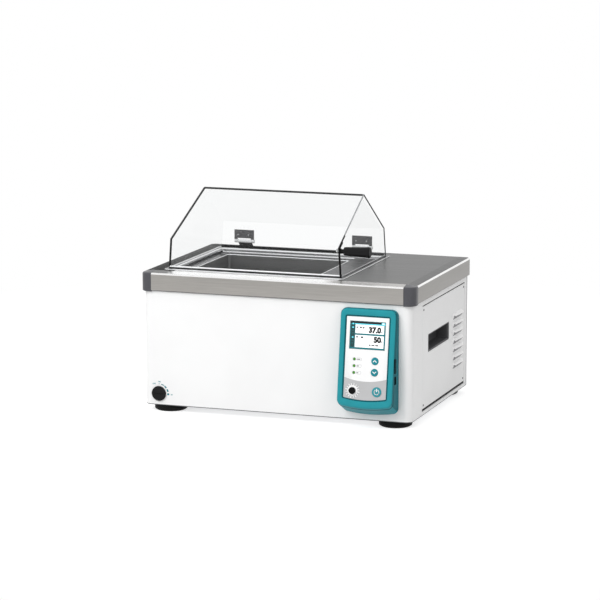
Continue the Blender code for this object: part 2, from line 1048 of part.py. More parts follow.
def make_hinge(tag, x):
    """One lid hinge: a leaf on the lid's back wall, a bracket on the deck and a pin."""
    half = hinge_width / 2
    axis = (x, hinge_y, hinge_z)
    bore = hinge_pin_radius + bore_clearance
    leaf_front = lid_back + gap
    leaf_back = leaf_front + hinge_plate
    leaf_low = lid_bottom + leaf_rise
    leaf = piece(
        f"hinge_leaf_{tag}",
        block(x - half, x + half, leaf_front, leaf_back, leaf_low, leaf_low + leaf_height),
        hinge_finish,
        origin=axis,
    )
    legs = []
    for left in (x - half, x + half - knuckle_length):
        right = left + knuckle_length
        legs.append(block(left, right, leaf_front, leaf_back, hinge_z, leaf_low + hinge_plate))
        legs.append(rod(knuckle_radius, left - x, right - x, axis, "X", small_sides))
    fuse(leaf, legs[0], legs[1], legs[2], legs[3])
    cut(leaf, rod(bore, -half - overrun, half + overrun, axis, "X", small_sides))
    middle = half - knuckle_length - gap
    foot_low = flat_top + gap
    foot_start = rim_back + gap
    foot_back = foot_start + bracket_reach
    foot_top = foot_low + bracket_foot_sheet
    drop = hinge_plate
    arm = [
        (hinge_y, hinge_z + knuckle_radius * arm_share),
        (hinge_y, hinge_z - knuckle_radius * arm_share),
        (foot_back - bracket_foot - drop, foot_low),
        (foot_back, foot_low),
        (foot_back, foot_top),
        (foot_back - bracket_foot, foot_top),
    ]
    bracket = piece(
        f"hinge_bracket_{tag}",
        between([along_x(arm, x - middle), along_x(arm, x + middle)]),
        hinge_finish,
        origin=axis,
    )
    fuse(bracket, rod(knuckle_radius, -middle, middle, axis, "X", small_sides))
    cut(bracket, rod(bore, -half - overrun, half + overrun, axis, "X", small_sides))
    pin = rod(hinge_pin_radius, -half, half, axis, "X", small_sides)
    piece(f"hinge_pin_{tag}", pin, chrome_finish, origin=axis, smooth=True)


def make_tray():
    """The perforated shaker tray with an upturned lip."""
    left = basin_left + stroke + tray_end_clearance
    right = basin_right - stroke - tray_end_clearance
    front = basin_front + tray_side_clearance
    back = basin_back - tray_side_clearance
    low = tray_bottom()

    def outline(inset):
        radius = tray_radius - inset
        return rounded(left + inset, right - inset, front + inset, back - inset, [radius] * 4)

    loops = [
        level(outline(0.0), low),
        level(outline(0.0), low + tray_lip),
        level(outline(tray_sheet), low + tray_lip),
        level(outline(tray_sheet), low + tray_sheet),
    ]
    tray = piece("shaker_tray", between(loops), tray_finish, origin=(basin_x, basin_y, low))
    holes = []
    for column in range(hole_columns):
        share_x = column / (hole_columns - 1)
        x = left + hole_margin + share_x * (right - left - 2 * hole_margin)
        for row in range(hole_rows):
            share_y = row / (hole_rows - 1)
            y = front + hole_margin + share_y * (back - front - 2 * hole_margin)
            holes.append(rod(hole_radius, -overrun, overrun, (x, y, low), sides=small_sides))
    cut(tray, merged(*holes))


def tray_bottom():
    return basin_floor + gap + rail_height + gap


def make_tray_rail(name, y):
    low = basin_floor + gap
    left = basin_left + rail_end_inset
    right = basin_right - rail_end_inset
    half = rail_width / 2
    piece(name, block(left, right, y - half, y + half, low, low + rail_height), glide_finish)


def magnet_bar(name, low, high):
    half_x = magnet_length / 2
    half_y = magnet_width / 2
    shape = block(basin_x - half_x, basin_x + half_x, basin_y - half_y, basin_y + half_y, low, high)
    piece(name, shape, magnet_finish, origin=(basin_x, basin_y, low))


def make_bath_inside():
    make_tray()
    make_tray_rail("tray_rail_front", basin_front + rail_inset)
    make_tray_rail("tray_rail_rear", basin_back - rail_inset)
    high = tray_bottom() - gap
    magnet_bar("tray_magnet", high - tray_magnet_height, high)
    magnet_bar("carriage_magnet", under_magnet_bottom, under_magnet_top)


def post_x(side):
    """Outer face of the posts: side is 1 at the right and -1 at the left."""
    reach = carriage_length / 2 + stroke + post_clearance + post_thickness
    return basin_x + side * reach


def make_drive_frame():
    """Base plate of the drive, with four posts that hold the guide rods."""
    left = post_x(-1)
    right = crank_x + motor_radius + frame_margin
    half = guide_offset + post_width / 2 + frame_margin
    shape = block(left, right, basin_y - half, basin_y + half, frame_bottom, frame_top)
    frame = piece("drive_frame", shape, zinc_finish)
    posts = []
    bores = []
    top = guide_z + post_head
    for y in (basin_y - guide_offset, basin_y + guide_offset):
        for side in (-1, 1):
            outer = post_x(side)
            inner = outer - side * post_thickness
            low_x, high_x = sorted((outer, inner))
            front = y - post_width / 2
            back = y + post_width / 2
            posts.append(block(low_x, high_x, front, back, frame_bottom + gap, top))
        length = post_x(1) - basin_x + overrun
        bores.append(rod(guide_radius + bore_clearance, -length, length, (basin_x, y, guide_z), "X"))
    fuse(frame, merged(*posts))
    cut(frame, merged(*bores))


def make_carriage():
    """Block that runs on the guide rods, with the pin that the connecting rod drives."""
    half_x = carriage_length / 2
    half_y = carriage_width / 2
    origin = (basin_x, basin_y, guide_z)
    carriage = piece(
        "magnet_carriage",
        block(
            basin_x - half_x,
            basin_x + half_x,
            basin_y - half_y,
            basin_y + half_y,
            carriage_bottom,
            carriage_top,
        ),
        aluminium_finish,
        origin=origin,
    )
    pin = rod(
        crank_pin_radius,
        carriage_pin_bottom,
        carriage_bottom + crank_pin_radius,
        (carriage_pin_x, basin_y, 0.0),
    )
    fuse(carriage, pin)
    bores = []
    for y in (basin_y - guide_offset, basin_y + guide_offset):
        bore = rod(guide_radius + bore_clearance, -half_x * 2, half_x * 2, (basin_x, y, guide_z), "X")
        bores.append(bore)
    cut(carriage, merged(*bores))


def make_guides():
    length = post_x(1) - basin_x
    for tag, y in (("front", basin_y - guide_offset), ("rear", basin_y + guide_offset)):
        shape = rod(guide_radius, -length, length, (basin_x, y, guide_z), "X")
        piece(f"guide_rod_{tag}", shape, chrome_finish, smooth=True)


def make_crank():
    """Gear motor, the crank disc with its shaft and its pin, and the connecting rod."""
    axis = (crank_x, basin_y, 0.0)
    edge = motor_radius * motor_edge_share
    profile = [
        (motor_radius - edge, motor_bottom),
        (motor_radius, motor_bottom + edge),
        (motor_radius, motor_top - edge),
        (motor_radius - edge, motor_top),
        (motor_boss_radius, motor_top),
        (motor_boss_radius, motor_top + motor_boss_height),
        (shaft_radius + bore_clearance, motor_top + motor_boss_height),
        (shaft_radius + bore_clearance, motor_top - disc_thickness),
    ]
    piece("gear_motor", turned(profile, axis), motor_finish, smooth=True)
    origin = (crank_x, basin_y, disc_bottom)
    profile = [
        (shaft_radius, motor_top - disc_thickness + gap),
        (shaft_radius, disc_bottom),
        (disc_radius, disc_bottom),
        (disc_radius, disc_top),
    ]
    crank = piece("crank_disc", turned(profile, axis), zinc_finish, origin, smooth=True)
    pin_y = basin_y + stroke
    pin = rod(
        crank_pin_radius,
        disc_top - crank_pin_overhang,
        rod_top + crank_pin_overhang,
        (crank_x, pin_y, 0.0),
    )
    fuse(crank, pin)
    make_connecting_rod(pin_y)


def make_connecting_rod(pin_y):
    """From the crank pin to just under the carriage pin, whose pivot is left open."""
    near = (crank_x, pin_y, 0.0)
    far = (carriage_pin_x, basin_y, 0.0)
    along = ((near[0] - far[0]) / rod_length, (near[1] - far[1]) / rod_length)
    across = (-along[1] * rod_width / 2, along[0] * rod_width / 2)
    outline = [
        (near[0] - across[0], near[1] - across[1]),
        (near[0] + across[0], near[1] + across[1]),
        (far[0] + across[0], far[1] + across[1]),
        (far[0] - across[0], far[1] - across[1]),
    ]
    shape = between([level(outline, rod_bottom), level(outline, rod_top)])
    origin = (near[0], near[1], rod_bottom)
    link = piece("connecting_rod", shape, aluminium_finish, origin)
    for centre in (near, far):
        fuse(link, rod(rod_eye_radius, rod_bottom, rod_top, centre))
    hole = crank_pin_radius + bore_clearance
    holes = [rod(hole, rod_bottom - overrun, rod_top + overrun, centre) for centre in (near, far)]
    cut(link, merged(*holes))


def make_heating():
    """Foils on the front and back walls of the basin."""
    clear = sheet + gap
    left = basin_left + foil_side_inset
    right = basin_right - foil_side_inset
    low = basin_floor + foil_rise
    high = low + foil_height
    front = basin_front - clear
    back = basin_back + clear
    shape = block(left, right, front - foil_thickness, front, low, high)
    piece("heating_foil_front", shape, foil_finish)
    shape = block(left, right, back, back + foil_thickness, low, high)
    piece("heating_foil_rear", shape, foil_finish)


def drain_route():
    """Down from the basin floor, round one bend, then straight back to the rear panel."""
    x = drain_x()
    y = basin_back - drain_inset
    z = drain_z()
    route = [((x, y, basin_floor), (0.0, 0.0, -1.0))]
    for step in range(drain_bend_steps + 1):
        angle = step / drain_bend_steps * pi / 2
        centre_y = y + drain_bend_radius
        centre_z = z + drain_bend_radius
        point = (x, centre_y - drain_bend_radius * cos(angle), centre_z - drain_bend_radius * sin(angle))
        route.append((point, (0.0, sin(angle), -cos(angle))))
    route.append(((x, body_back + gap, z), (0.0, 1.0, 0.0)))
    return route


def pipe_loops(route, radius):
    loops = []
    for (x, y, z), (_, run_y, run_z) in route:
        loop = []
        for step in range(small_sides):
            angle = 2 * pi * step / small_sides
            side = radius * cos(angle)
            rise = radius * sin(angle)
            loop.append((x + side, y - run_z * rise, z + run_y * rise))
        loops.append(loop)
    return loops


def make_drain():
    """Pipe, flange under the floor, valve with its spout behind the rear panel, and lever."""
    route = drain_route()
    loops = pipe_loops(route, drain_pipe_radius) + pipe_loops(route, drain_pipe_bore)[::-1]
    pipe = piece("drain_pipe", between(loops, ring=True), steel_finish, smooth=True)
    y = basin_back - drain_inset
    high = basin_bottom - gap
    inner = (drain_pipe_radius + drain_pipe_bore) / 2
    flange = turned(
        [
            (drain_flange_radius, high - drain_flange_thickness),
            (drain_flange_radius, high),
            (inner, high),
            (inner, high - drain_flange_thickness),
        ],
        (drain_x(), y, 0.0),
        ring=True,
    )
    fuse(pipe, flange)
    x = drain_x()
    z = drain_z()
    start = body_back + gap * 2
    nut_end = start + valve_length
    end = body_back + drain_reach
    profile = [
        (drain_pipe_bore, start),
        (valve_radius, start),
        (valve_radius, nut_end),
        (spout_radius, nut_end),
        (spout_radius, end),
        (drain_pipe_bore, end),
    ]
    shape = turned(profile, (x, 0.0, z), "Y", small_sides * 2, ring=True)
    valve = piece("drain_valve", shape, brass_finish, smooth=True)
    lever_y = start + valve_length / 2
    neck_top = z + valve_radius + valve_stand
    neck_bottom = z + valve_radius * neck_share
    place = (x, lever_y, 0.0)
    neck = rod(stem_radius * 2, neck_bottom, neck_top, place, sides=small_sides)
    fuse(valve, neck)
    origin = (x, lever_y, neck_top + gap)
    low = neck_top + gap
    stem = rod(stem_radius, low, low + stem_height, (x, lever_y, 0.0), sides=small_sides)
    lever = piece("drain_lever", stem, red_finish, origin)
    handle = block(
        x - stem_radius * 2,
        x + lever_length,
        lever_y - lever_width / 2,
        lever_y + lever_width / 2,
        low + stem_height - lever_thickness,
        low + stem_height,
    )
    fuse(lever, handle)


def panel_outline(left, right, length, bow, radius):
    """Outline of the control panel: x, and the distance down from its top edge."""
    outline = []
    corners = ((left, 0.0, 1, 1, pi), (right, 0.0, -1, 1, 3 * pi / 2))
    for x, y, side_x, side_y, start in corners:
        for step in range(corner_steps + 1):
            angle = start + step / corner_steps * pi / 2
            centre_x = x + side_x * radius
            centre_y = y + side_y * radius
            outline.append((centre_x + radius * cos(angle), centre_y + radius * sin(angle)))
    for step in range(corner_steps + 1):
        angle = step / corner_steps * pi / 2
        outline.append((right - radius + radius * cos(angle), length - radius + radius * sin(angle)))
    for step in range(1, bow_steps):
        share = step / bow_steps
        x = right - radius - share * (right - left - 2 * radius)
        outline.append((x, length + bow * 4 * share * (1 - share)))
    for step in range(corner_steps + 1):
        angle = pi / 2 + step / corner_steps * pi / 2
        outline.append((left + radius + radius * cos(angle), length - radius + radius * sin(angle)))
    return outline


def make_panel_empty():
    """The sloped face's own frame: x to the right, y up the slope, z out of the face."""
    empty = bpy.data.objects.new("panel_face", None)
    empty.matrix_world = Matrix.Translation((panel_x, panel_face_y, panel_top)) @ Matrix.Rotation(
        pi / 2 - panel_tilt, 4, "X"
    )
    bpy.context.scene.collection.objects.link(empty)
    return empty


def on_face(outline, out):
    """The outline's points on the sloped face, in the bath's own frame."""
    points = []
    for x, down in outline:
        y = panel_face_y - down * sin(panel_tilt) - out * cos(panel_tilt)
        z = panel_top - down * cos(panel_tilt) + out * sin(panel_tilt)
        points.append((x, y, z))
    return points


def at_casing(outline):
    return [(x, body_front - gap, panel_top - down) for x, down in outline]


def shifted(outline, down):
    return [(x, y + down) for x, y in outline]


def plate_outline(inset):
    """The face plate's edge, or with no inset the window that it sits in."""
    edge = panel_border + inset
    length = panel_face_length - panel_border_top - panel_border_bottom - 2 * inset
    outline = panel_outline(
        panel_left + edge,
        panel_right - edge,
        length,
        panel_bow,
        plate_radius - inset,
    )
    return shifted(outline, panel_border_top + inset)


def make_panel_housing():
    """The moulded wedge: open at the back, with a window for the face plate."""
    wall = panel_wall
    back = panel_outline(
        panel_left - panel_draft,
        panel_right + panel_draft,
        panel_base_length,
        panel_bow,
        panel_radius,
    )
    front = panel_outline(panel_left, panel_right, panel_face_length, panel_bow, panel_radius)
    inner_front = panel_outline(
        panel_left + wall,
        panel_right - wall,
        panel_face_length - 2 * wall,
        panel_bow,
        panel_radius - wall,
    )
    inner_back = panel_outline(
        panel_left - panel_draft + wall,
        panel_right + panel_draft - wall,
        panel_base_length - 2 * wall,
        panel_bow,
        panel_radius - wall,
    )
    loops = [
        at_casing(back),
        on_face(front, 0.0),
        on_face(plate_outline(0.0), 0.0),
        on_face(plate_outline(0.0), -wall),
        on_face(shifted(inner_front, wall), -wall),
        at_casing(shifted(inner_back, wall)),
    ]
    housing = piece("panel_housing", between(loops, ring=True), teal_finish, smooth=True)
    y, z = port_centre()
    half_y = port_width / 2 + port_hole_margin
    half_z = port_height / 2 + port_hole_margin
    cut(
        housing,
        block(
            panel_right - wall - overrun,
            panel_right + overrun,
            y - half_y,
            y + half_y,
            z - half_z,
            z + half_z,
        ),
    )


def port_centre():
    return body_front - port_reach, panel_top - port_drop


def make_port():
    """The data socket behind the opening in the housing's right side."""
    y, z = port_centre()
    mouth = panel_right - panel_wall - gap
    half_y = port_width / 2
    half_z = port_height / 2
    wall = port_wall

    def outline(grow):
        return [
            (y - half_y - grow, z - half_z - grow),
            (y + half_y + grow, z - half_z - grow),
            (y + half_y + grow, z + half_z + grow),
            (y - half_y - grow, z + half_z + grow),
        ]

    loops = [
        along_x(outline(wall), mouth - port_depth - wall),
        along_x(outline(wall), mouth),
        along_x(outline(0.0), mouth),
        along_x(outline(0.0), mouth - port_depth),
    ]
    piece("data_socket", between(loops), chrome_finish)


def make_face_plate(face):
    """The plate in the window, pierced for what sits in it, with pillars for the board."""
    outline = [(x - panel_x, -down) for x, down in plate_outline(gap)]
    shape = between([level(outline, plate_back), level(outline, plate_front)])
    plate = piece("face_plate", shape, white_finish, parent=face)
    half_width = screen_width / 2 + gap
    half_height = screen_height / 2 + gap
    low = plate_back - overrun
    high = plate_front + overrun
    window_low = -screen_drop - half_height
    window_high = -screen_drop + half_height
    holes = [block(-half_width, half_width, window_low, window_high, low, high)]
    rounds = [(-lamp_offset, drop, lamp_radius + gap) for drop in lamp_drops]
    rounds += [(key_offset, drop, key_radius + gap) for drop in key_drops]
    rounds.append((power_offset, power_drop, power_radius + gap))
    rounds.append((-jog_offset, jog_drop, encoder_radius + gap))
    for x, down, radius in rounds:
        holes.append(rod(radius, low, high, (x, -down, 0.0)))
    cut(plate, merged(*holes), parent=face)
    pillars = []
    for x in (-board_width / 2 + pillar_inset, board_width / 2 - pillar_inset):
        for down in (board_top + pillar_inset, board_top + board_length - pillar_inset):
            top = plate_back + plate_thickness / 2
            pillars.append(rod(pillar_radius, board_front + gap, top, (x, -down, 0.0), sides=small_sides))
    fuse(plate, merged(*pillars), parent=face)


def make_screen(face):
    half_width = screen_width / 2
    half_height = screen_height / 2
    top = plate_front - screen_recess
    shape = block(
        -half_width,
        half_width,
        -screen_drop - half_height,
        -screen_drop + half_height,
        board_front + gap,
        top,
    )
    piece("display", shape, screen_finish, parent=face)


def make_key(name, x, down, radius, face):
    """A round push button with its stem towards the board."""
    top = plate_front + key_stand
    under = top - key_cap_thickness
    stem_end = board_front + key_travel + gap
    edge = key_cap_thickness * key_edge_share
    profile = [
        (key_stem_radius, stem_end),
        (key_stem_radius, under),
        (radius, under),
        (radius, top - edge),
        (radius - edge, top),
    ]
    origin = (x, -down, plate_front)
    piece(name, turned(profile, (x, -down, 0.0)), teal_finish, origin, face, smooth=True)


def make_lamp(name, down, face):
    profile = [
        (lamp_radius, plate_back - lamp_radius),
        (lamp_radius, plate_front),
        (lamp_radius * lamp_dome_share, plate_front + lamp_dome),
    ]
    shape = turned(profile, (-lamp_offset, -down, 0.0), sides=small_sides)
    piece(name, shape, lamp_finish, parent=face, smooth=True)


def make_jog(face):
    """The turning dial, with the encoder shaft that runs back into the board's sleeve."""
    x = -jog_offset
    under = plate_front + jog_travel + gap
    top = under + jog_height
    edge = jog_radius * jog_edge_share
    profile = [
        (encoder_radius, board_front + jog_travel + gap),
        (encoder_radius, under),
        (jog_radius, under),
        (jog_radius, top - edge),
        (jog_radius - edge, top),
    ]
    origin = (x, -jog_drop, plate_front)
    piece("jog_dial", turned(profile, (x, -jog_drop, 0.0)), black_finish, origin, face, smooth=True)


def make_board(face):
    """The control board, with the sleeve that the encoder shaft turns in."""
    half = board_width / 2
    shape = block(
        -half,
        half,
        -board_top - board_length,
        -board_top,
        board_front - board_sheet,
        board_front,
    )
    board = piece("control_board", shape, board_finish, parent=face)
    bore = encoder_radius + bore_clearance
    sleeve = turned(
        [
            (encoder_sleeve_radius, board_front - board_sheet / 2),
            (encoder_sleeve_radius, board_front + encoder_sleeve_height),
            (bore, board_front + encoder_sleeve_height),
            (bore, board_front - board_sheet / 2),
        ],
        (-jog_offset, -jog_drop, 0.0),
        ring=True,
    )
    fuse(board, sleeve, parent=face)


def make_control_panel():
    face = make_panel_empty()
    make_panel_housing()
    make_port()
    make_face_plate(face)
    make_screen(face)
    make_key("up_button", key_offset, key_drops[0], key_radius, face)
    make_key("down_button", key_offset, key_drops[1], key_radius, face)
    make_key("power_button", power_offset, power_drop, power_radius, face)
    for number, down in enumerate(lamp_drops):
        make_lamp(f"status_lamp_{number + 1}", down, face)
    make_jog(face)
    make_board(face)


def make_limit_dial():
    """The over-temperature dial with its screwdriver slot, and the thermostat behind it."""
    x = body_left + limit_left
    z = base_bottom + limit_height
    back = body_front - gap
    top = back - limit_thickness
    centre = (x, 0.0, z)
    edge = limit_thickness * key_edge_share
    profile = [
        (limit_radius - edge, top),
        (limit_radius, top + edge),
        (limit_radius, back),
        (limit_shaft_radius, back),
        (limit_shaft_radius, body_front + sheet + limit_shaft_reach),
    ]
    origin = (x, back, z)
    dial = piece("limit_dial", turned(profile, centre, "Y"), black_finish, origin, smooth=True)
    cut(
        dial,
        block(
            x - limit_slot_length / 2,
            x + limit_slot_length / 2,
            top - overrun,
            top + limit_slot_depth,
            z - limit_slot_width / 2,
            z + limit_slot_width / 2,
        ),
    )
    start = body_front + sheet + gap
    bore = limit_shaft_radius + bore_clearance
    profile = [
        (limit_body_radius, start + limit_body_length),
        (limit_body_radius, start),
        (bore, start),
        (bore, start + limit_shaft_reach),
    ]
    piece("limit_thermostat", turned(profile, centre, "Y"), black_finish, smooth=True)


def make_inlet():
    """The power inlet: flange outside the rear panel and a recess for the connector."""
    x = body_right - inlet_right
    z = base_bottom + inlet_height
    half_width = inlet_width / 2
    half_tall = inlet_tall / 2
    outer = body_back + gap
    body = block(
        x - half_width,
        x + half_width,
        body_back - inlet_depth,
        outer + inlet_flange_sheet / 2,
        z - half_tall,
        z + half_tall,
    )
    inlet = piece("power_inlet", body, black_finish)
    flange = block(
        x - half_width - inlet_flange,
        x + half_width + inlet_flange,
        outer,
        outer + inlet_flange_sheet,
        z - half_tall - inlet_flange,
        z + half_tall + inlet_flange,
    )
    fuse(inlet, flange)
    middle = z + inlet_recess_rise
    mouth = outer + inlet_flange_sheet
    recess = block(
        x - inlet_recess_width / 2,
        x + inlet_recess_width / 2,
        mouth - inlet_recess_depth,
        mouth + overrun,
        middle - inlet_recess_height / 2,
        middle + inlet_recess_height / 2,
    )
    cut(inlet, recess)


def make_fan():
    """A square fan frame with three struts and a hub, and the rotor that turns in it."""
    x = body_right - fan_right
    z = base_bottom + fan_height
    half = fan_size / 2
    back = body_back - sheet - gap
    front = back - fan_depth
    shape = block(x - half, x + half, front, back, z - half, z + half)
    frame = piece("fan_frame", shape, black_finish)
    cut(frame, rod(fan_bore_radius, front - overrun, back + overrun, (x, 0.0, z), "Y"))
    strut = block(
        x - half + crease,
        x + half - crease,
        front,
        front + fan_strut_width,
        z - fan_strut_width / 2,
        z + fan_strut_width / 2,
    )
    upright = block(
        x - fan_strut_width / 2,
        x + fan_strut_width / 2,
        front,
        front + fan_strut_width,
        z - half + crease,
        z + half - crease,
    )
    hub = rod(fan_hub_radius, front, front + fan_hub_length, (x, 0.0, z), "Y")
    fuse(frame, hub, strut, upright)
    start = front + fan_hub_length + gap
    end = back - gap
    origin = (x, start, z)
    hub = rod(fan_hub_radius, start, end, (x, 0.0, z), "Y")
    rotor = piece("fan_rotor", hub, black_finish, origin, smooth=True)
    blades = [fan_blade(x, (start + end) / 2, z, number) for number in range(fan_blades)]
    fuse(rotor, merged(*blades))


def fan_blade(x, y, z, number):
    """One flat blade, pitched about its own radius."""
    angle = 2 * pi * number / fan_blades
    half_length = fan_blade_length / 2
    half_sheet = fan_blade_sheet / 2
    section = []
    for along, thick in ((-1, -1), (1, -1), (1, 1), (-1, 1)):
        a = along * half_length
        b = thick * half_sheet
        across = a * cos(fan_blade_pitch) - b * sin(fan_blade_pitch)
        depth = a * sin(fan_blade_pitch) + b * cos(fan_blade_pitch)
        section.append((across, depth))
    loops = []
    for radius in (fan_hub_radius * hub_root_share, fan_blade_radius):
        loop = []
        for across, depth in section:
            px = x + radius * cos(angle) - across * sin(angle)
            pz = z + radius * sin(angle) + across * cos(angle)
            loop.append((px, y + depth, pz))
        loops.append(loop)
    return between(loops)


def make_supply():
    """The power supply in the right bay, with its terminal step."""
    right = body_right - supply_right
    left = right - supply_width
    front = body_front + supply_front
    back = front + supply_length
    low = base_top + gap
    high = low + supply_height
    supply = piece("power_supply", block(left, right, front, back, low, high), zinc_finish)
    step = block(
        left - overrun,
        right + overrun,
        front - overrun,
        front + supply_terminal,
        low + supply_height / 2,
        high + overrun,
    )
    cut(supply, step)


clear_scene()
helper_finish = material("helper", (0.8, 0.2, 0.2), 0.5)
white_finish = material("white_powder_coat", (0.86, 0.87, 0.88), 0.45)
steel_finish = material("brushed_stainless", (0.60, 0.59, 0.57), 0.35, 1.0)
tank_finish = material("tank_stainless", (0.55, 0.55, 0.55), 0.28, 1.0)
tray_finish = material("tray_stainless", (0.58, 0.58, 0.58), 0.3, 1.0)
cap_finish = material("grey_cap_plastic", (0.11, 0.11, 0.13), 0.5)
black_finish = material("black_plastic", (0.02, 0.02, 0.02), 0.45)
teal_finish = material("teal_plastic", (0.02, 0.27, 0.31), 0.35)
clear_finish = material("clear_acrylic", (0.95, 0.97, 0.98), 0.05, 0.0, 0.25)
hinge_finish = material("dark_hinge_steel", (0.14, 0.14, 0.15), 0.4, 1.0)
chrome_finish = material("bright_steel", (0.75, 0.75, 0.76), 0.15, 1.0)
zinc_finish = material("zinc_plated_steel", (0.55, 0.56, 0.57), 0.45, 1.0)
aluminium_finish = material("aluminium", (0.72, 0.73, 0.74), 0.4, 1.0)
brass_finish = material("nickel_brass", (0.62, 0.52, 0.30), 0.3, 1.0)
magnet_finish = material("magnet_case", (0.35, 0.35, 0.37), 0.35, 1.0)
motor_finish = material("motor_enamel", (0.08, 0.08, 0.09), 0.4)
foil_finish = material("heating_foil", (0.35, 0.10, 0.04), 0.6)
glide_finish = material("white_glide_plastic", (0.82, 0.82, 0.80), 0.5)
screen_finish = material("display_glass", (0.03, 0.20, 0.22), 0.1)
lamp_finish = material("green_lens", (0.08, 0.45, 0.08), 0.25)
board_finish = material("board_laminate", (0.02, 0.18, 0.08), 0.5)
red_finish = material("red_lever_plastic", (0.5, 0.03, 0.02), 0.4)

make_base()
make_feet()
make_wrap()
make_side_panel("side_panel_right", 1)
make_side_panel("side_panel_left", -1)
make_hand_hold("hand_hold_right", 1)
make_hand_hold("hand_hold_left", -1)
make_rear_panel()
make_deck()
make_corner_cap("corner_cap_right", 1)
make_corner_cap("corner_cap_left", -1)
make_tank_frame()
make_basin()
make_lid()
make_grip()
make_hinge("left", lid_x - hinge_offset)
make_hinge("right", lid_x + hinge_offset)
make_bath_inside()
make_drive_frame()
make_guides()
make_carriage()
make_crank()
make_heating()
make_drain()
make_control_panel()
make_limit_dial()
make_inlet()
make_fan()
make_supply()
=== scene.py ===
"""Looks of the shaking water bath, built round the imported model."""

from math import cos, pi, radians, sin, sqrt

import bmesh
import bpy
from mathutils import Matrix, Vector


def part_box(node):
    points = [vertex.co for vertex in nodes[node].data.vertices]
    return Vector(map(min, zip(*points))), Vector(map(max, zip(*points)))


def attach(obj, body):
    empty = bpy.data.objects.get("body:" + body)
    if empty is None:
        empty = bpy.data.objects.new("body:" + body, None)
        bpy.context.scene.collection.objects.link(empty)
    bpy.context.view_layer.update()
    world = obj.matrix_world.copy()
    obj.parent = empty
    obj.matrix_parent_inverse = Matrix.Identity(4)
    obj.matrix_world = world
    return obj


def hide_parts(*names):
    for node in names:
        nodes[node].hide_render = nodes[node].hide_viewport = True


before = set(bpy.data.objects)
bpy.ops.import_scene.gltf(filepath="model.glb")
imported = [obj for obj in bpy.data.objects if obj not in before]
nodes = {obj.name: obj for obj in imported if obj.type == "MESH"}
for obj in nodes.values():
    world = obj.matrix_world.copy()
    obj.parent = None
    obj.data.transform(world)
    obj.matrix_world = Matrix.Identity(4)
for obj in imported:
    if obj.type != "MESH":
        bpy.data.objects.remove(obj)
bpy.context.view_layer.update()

# Places read from the frame, in metres
deck_low, deck_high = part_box("deck_cover")
wrap_low, wrap_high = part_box("front_wrap")
rim_low, rim_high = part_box("tank_frame")
basin_low, basin_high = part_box("tank_basin")
panel_low, panel_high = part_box("panel_housing")
lid_low, lid_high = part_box("lid")

# Sizes repeated from the part
sheet = 0.0012
deck_sheet = 0.0015
cap_size = 0.0212
cap_radius = 0.0145
margin_width = 0.0187
margin_rise = 0.003
rear_radius = 0.0105
casing_radius = 0.0145
rim_width = 0.010
ledge_drop = 0.009
basin_radius = 0.006
lid_wall = 0.004
lid_front_eave = 0.0562
lid_back_eave = 0.0537
lid_ridge_height = 0.1327
lid_ridge_share = 0.594
lid_draft_share = 0.0626
panel_tilt = radians(8.5)
panel_face_length = 0.1750
panel_bow = 0.0035
panel_base_length = 0.1915
panel_width = 0.1044
panel_radius = 0.012
panel_draft = 0.0015
panel_wall = 0.0025
panel_border = 0.0097
panel_border_top = 0.0113
panel_border_bottom = 0.0125
plate_radius = 0.004
plate_recess = 0.0012
lamp_x, lamp_downs = -0.0225, (0.0904, 0.1025, 0.1147)
key_x, up_down, down_down = 0.0165, 0.0922, 0.1127
power_x, power_down = 0.0225, 0.1474
jog_x, jog_down = -0.0232, 0.1472
key_top = -plate_recess + 0.0012
louvre_top, louvre_step, louvre_height = 0.0925, 0.0157, 0.0112

band_bottom = deck_low.z
flat_top = deck_high.z
band_top = flat_top - margin_rise
body_left, body_right = wrap_low.x, wrap_high.x
body_front, body_back = wrap_low.y, wrap_high.y
base_bottom = wrap_low.z
rim_top = rim_high.z
ledge_z = rim_top - ledge_drop
recess = (rim_low.x + rim_width, rim_high.x - rim_width, rim_low.y + rim_width, rim_high.y - rim_width)
mouth = (basin_low.x + sheet, basin_high.x - sheet, basin_low.y + sheet, basin_high.y - sheet)
panel_x = (panel_low.x + panel_high.x) / 2
panel_left, panel_right = panel_x - panel_width / 2, panel_x + panel_width / 2
panel_top = panel_high.z
panel_face_y = body_front - 0.012


# ---------------------------------------------------------------- shader helpers


def hexed(red, green, blue):
    """An sRGB colour of 0 to 255 as linear."""
    made = []
    for value in (red, green, blue):
        share = value / 255
        made.append(share / 12.92 if share <= 0.04045 else ((share + 0.055) / 1.055) ** 2.4)
    return (*made, 1.0)


class Wiring:
    """Short calls for the nodes that this scene uses, in one node tree."""

    def __init__(self, tree):
        self.nodes = tree.nodes
        self.links = tree.links

    def add(self, kind, **settings):
        node = self.nodes.new(kind)
        for name, value in settings.items():
            setattr(node, name, value)
        return node

    def link(self, source, target):
        self.links.new(source, target)

    def ranged(self, value, low, high, to_low, to_high):
        node = self.add("ShaderNodeMapRange")
        for socket, number in zip(("From Min", "From Max", "To Min", "To Max"), (low, high, to_low, to_high)):
            node.inputs[socket].default_value = number
        self.link(value, node.inputs["Value"])
        return node.outputs["Result"]

    def math(self, operation, first, second=0.0):
        node = self.add("ShaderNodeMath", operation=operation)
        for socket, value in zip(node.inputs, (first, second)):
            if isinstance(value, bpy.types.NodeSocket):
                self.link(value, socket)
            else:
                socket.default_value = value
        return node.outputs[0]

    def seen(self):
        """1 for rays from the camera, straight, mirrored or passed through."""
        path = self.add("ShaderNodeLightPath").outputs
        straight = self.math("MAXIMUM", path["Is Camera Ray"], path["Is Glossy Ray"])
        return self.math("MAXIMUM", straight, path["Is Transmission Ray"])

    def blend(self, share, first, second):
        node = self.add("ShaderNodeMixShader")
        for socket, source in zip(node.inputs, (share, first, second)):
            self.link(source, socket)
        return node.outputs[0]


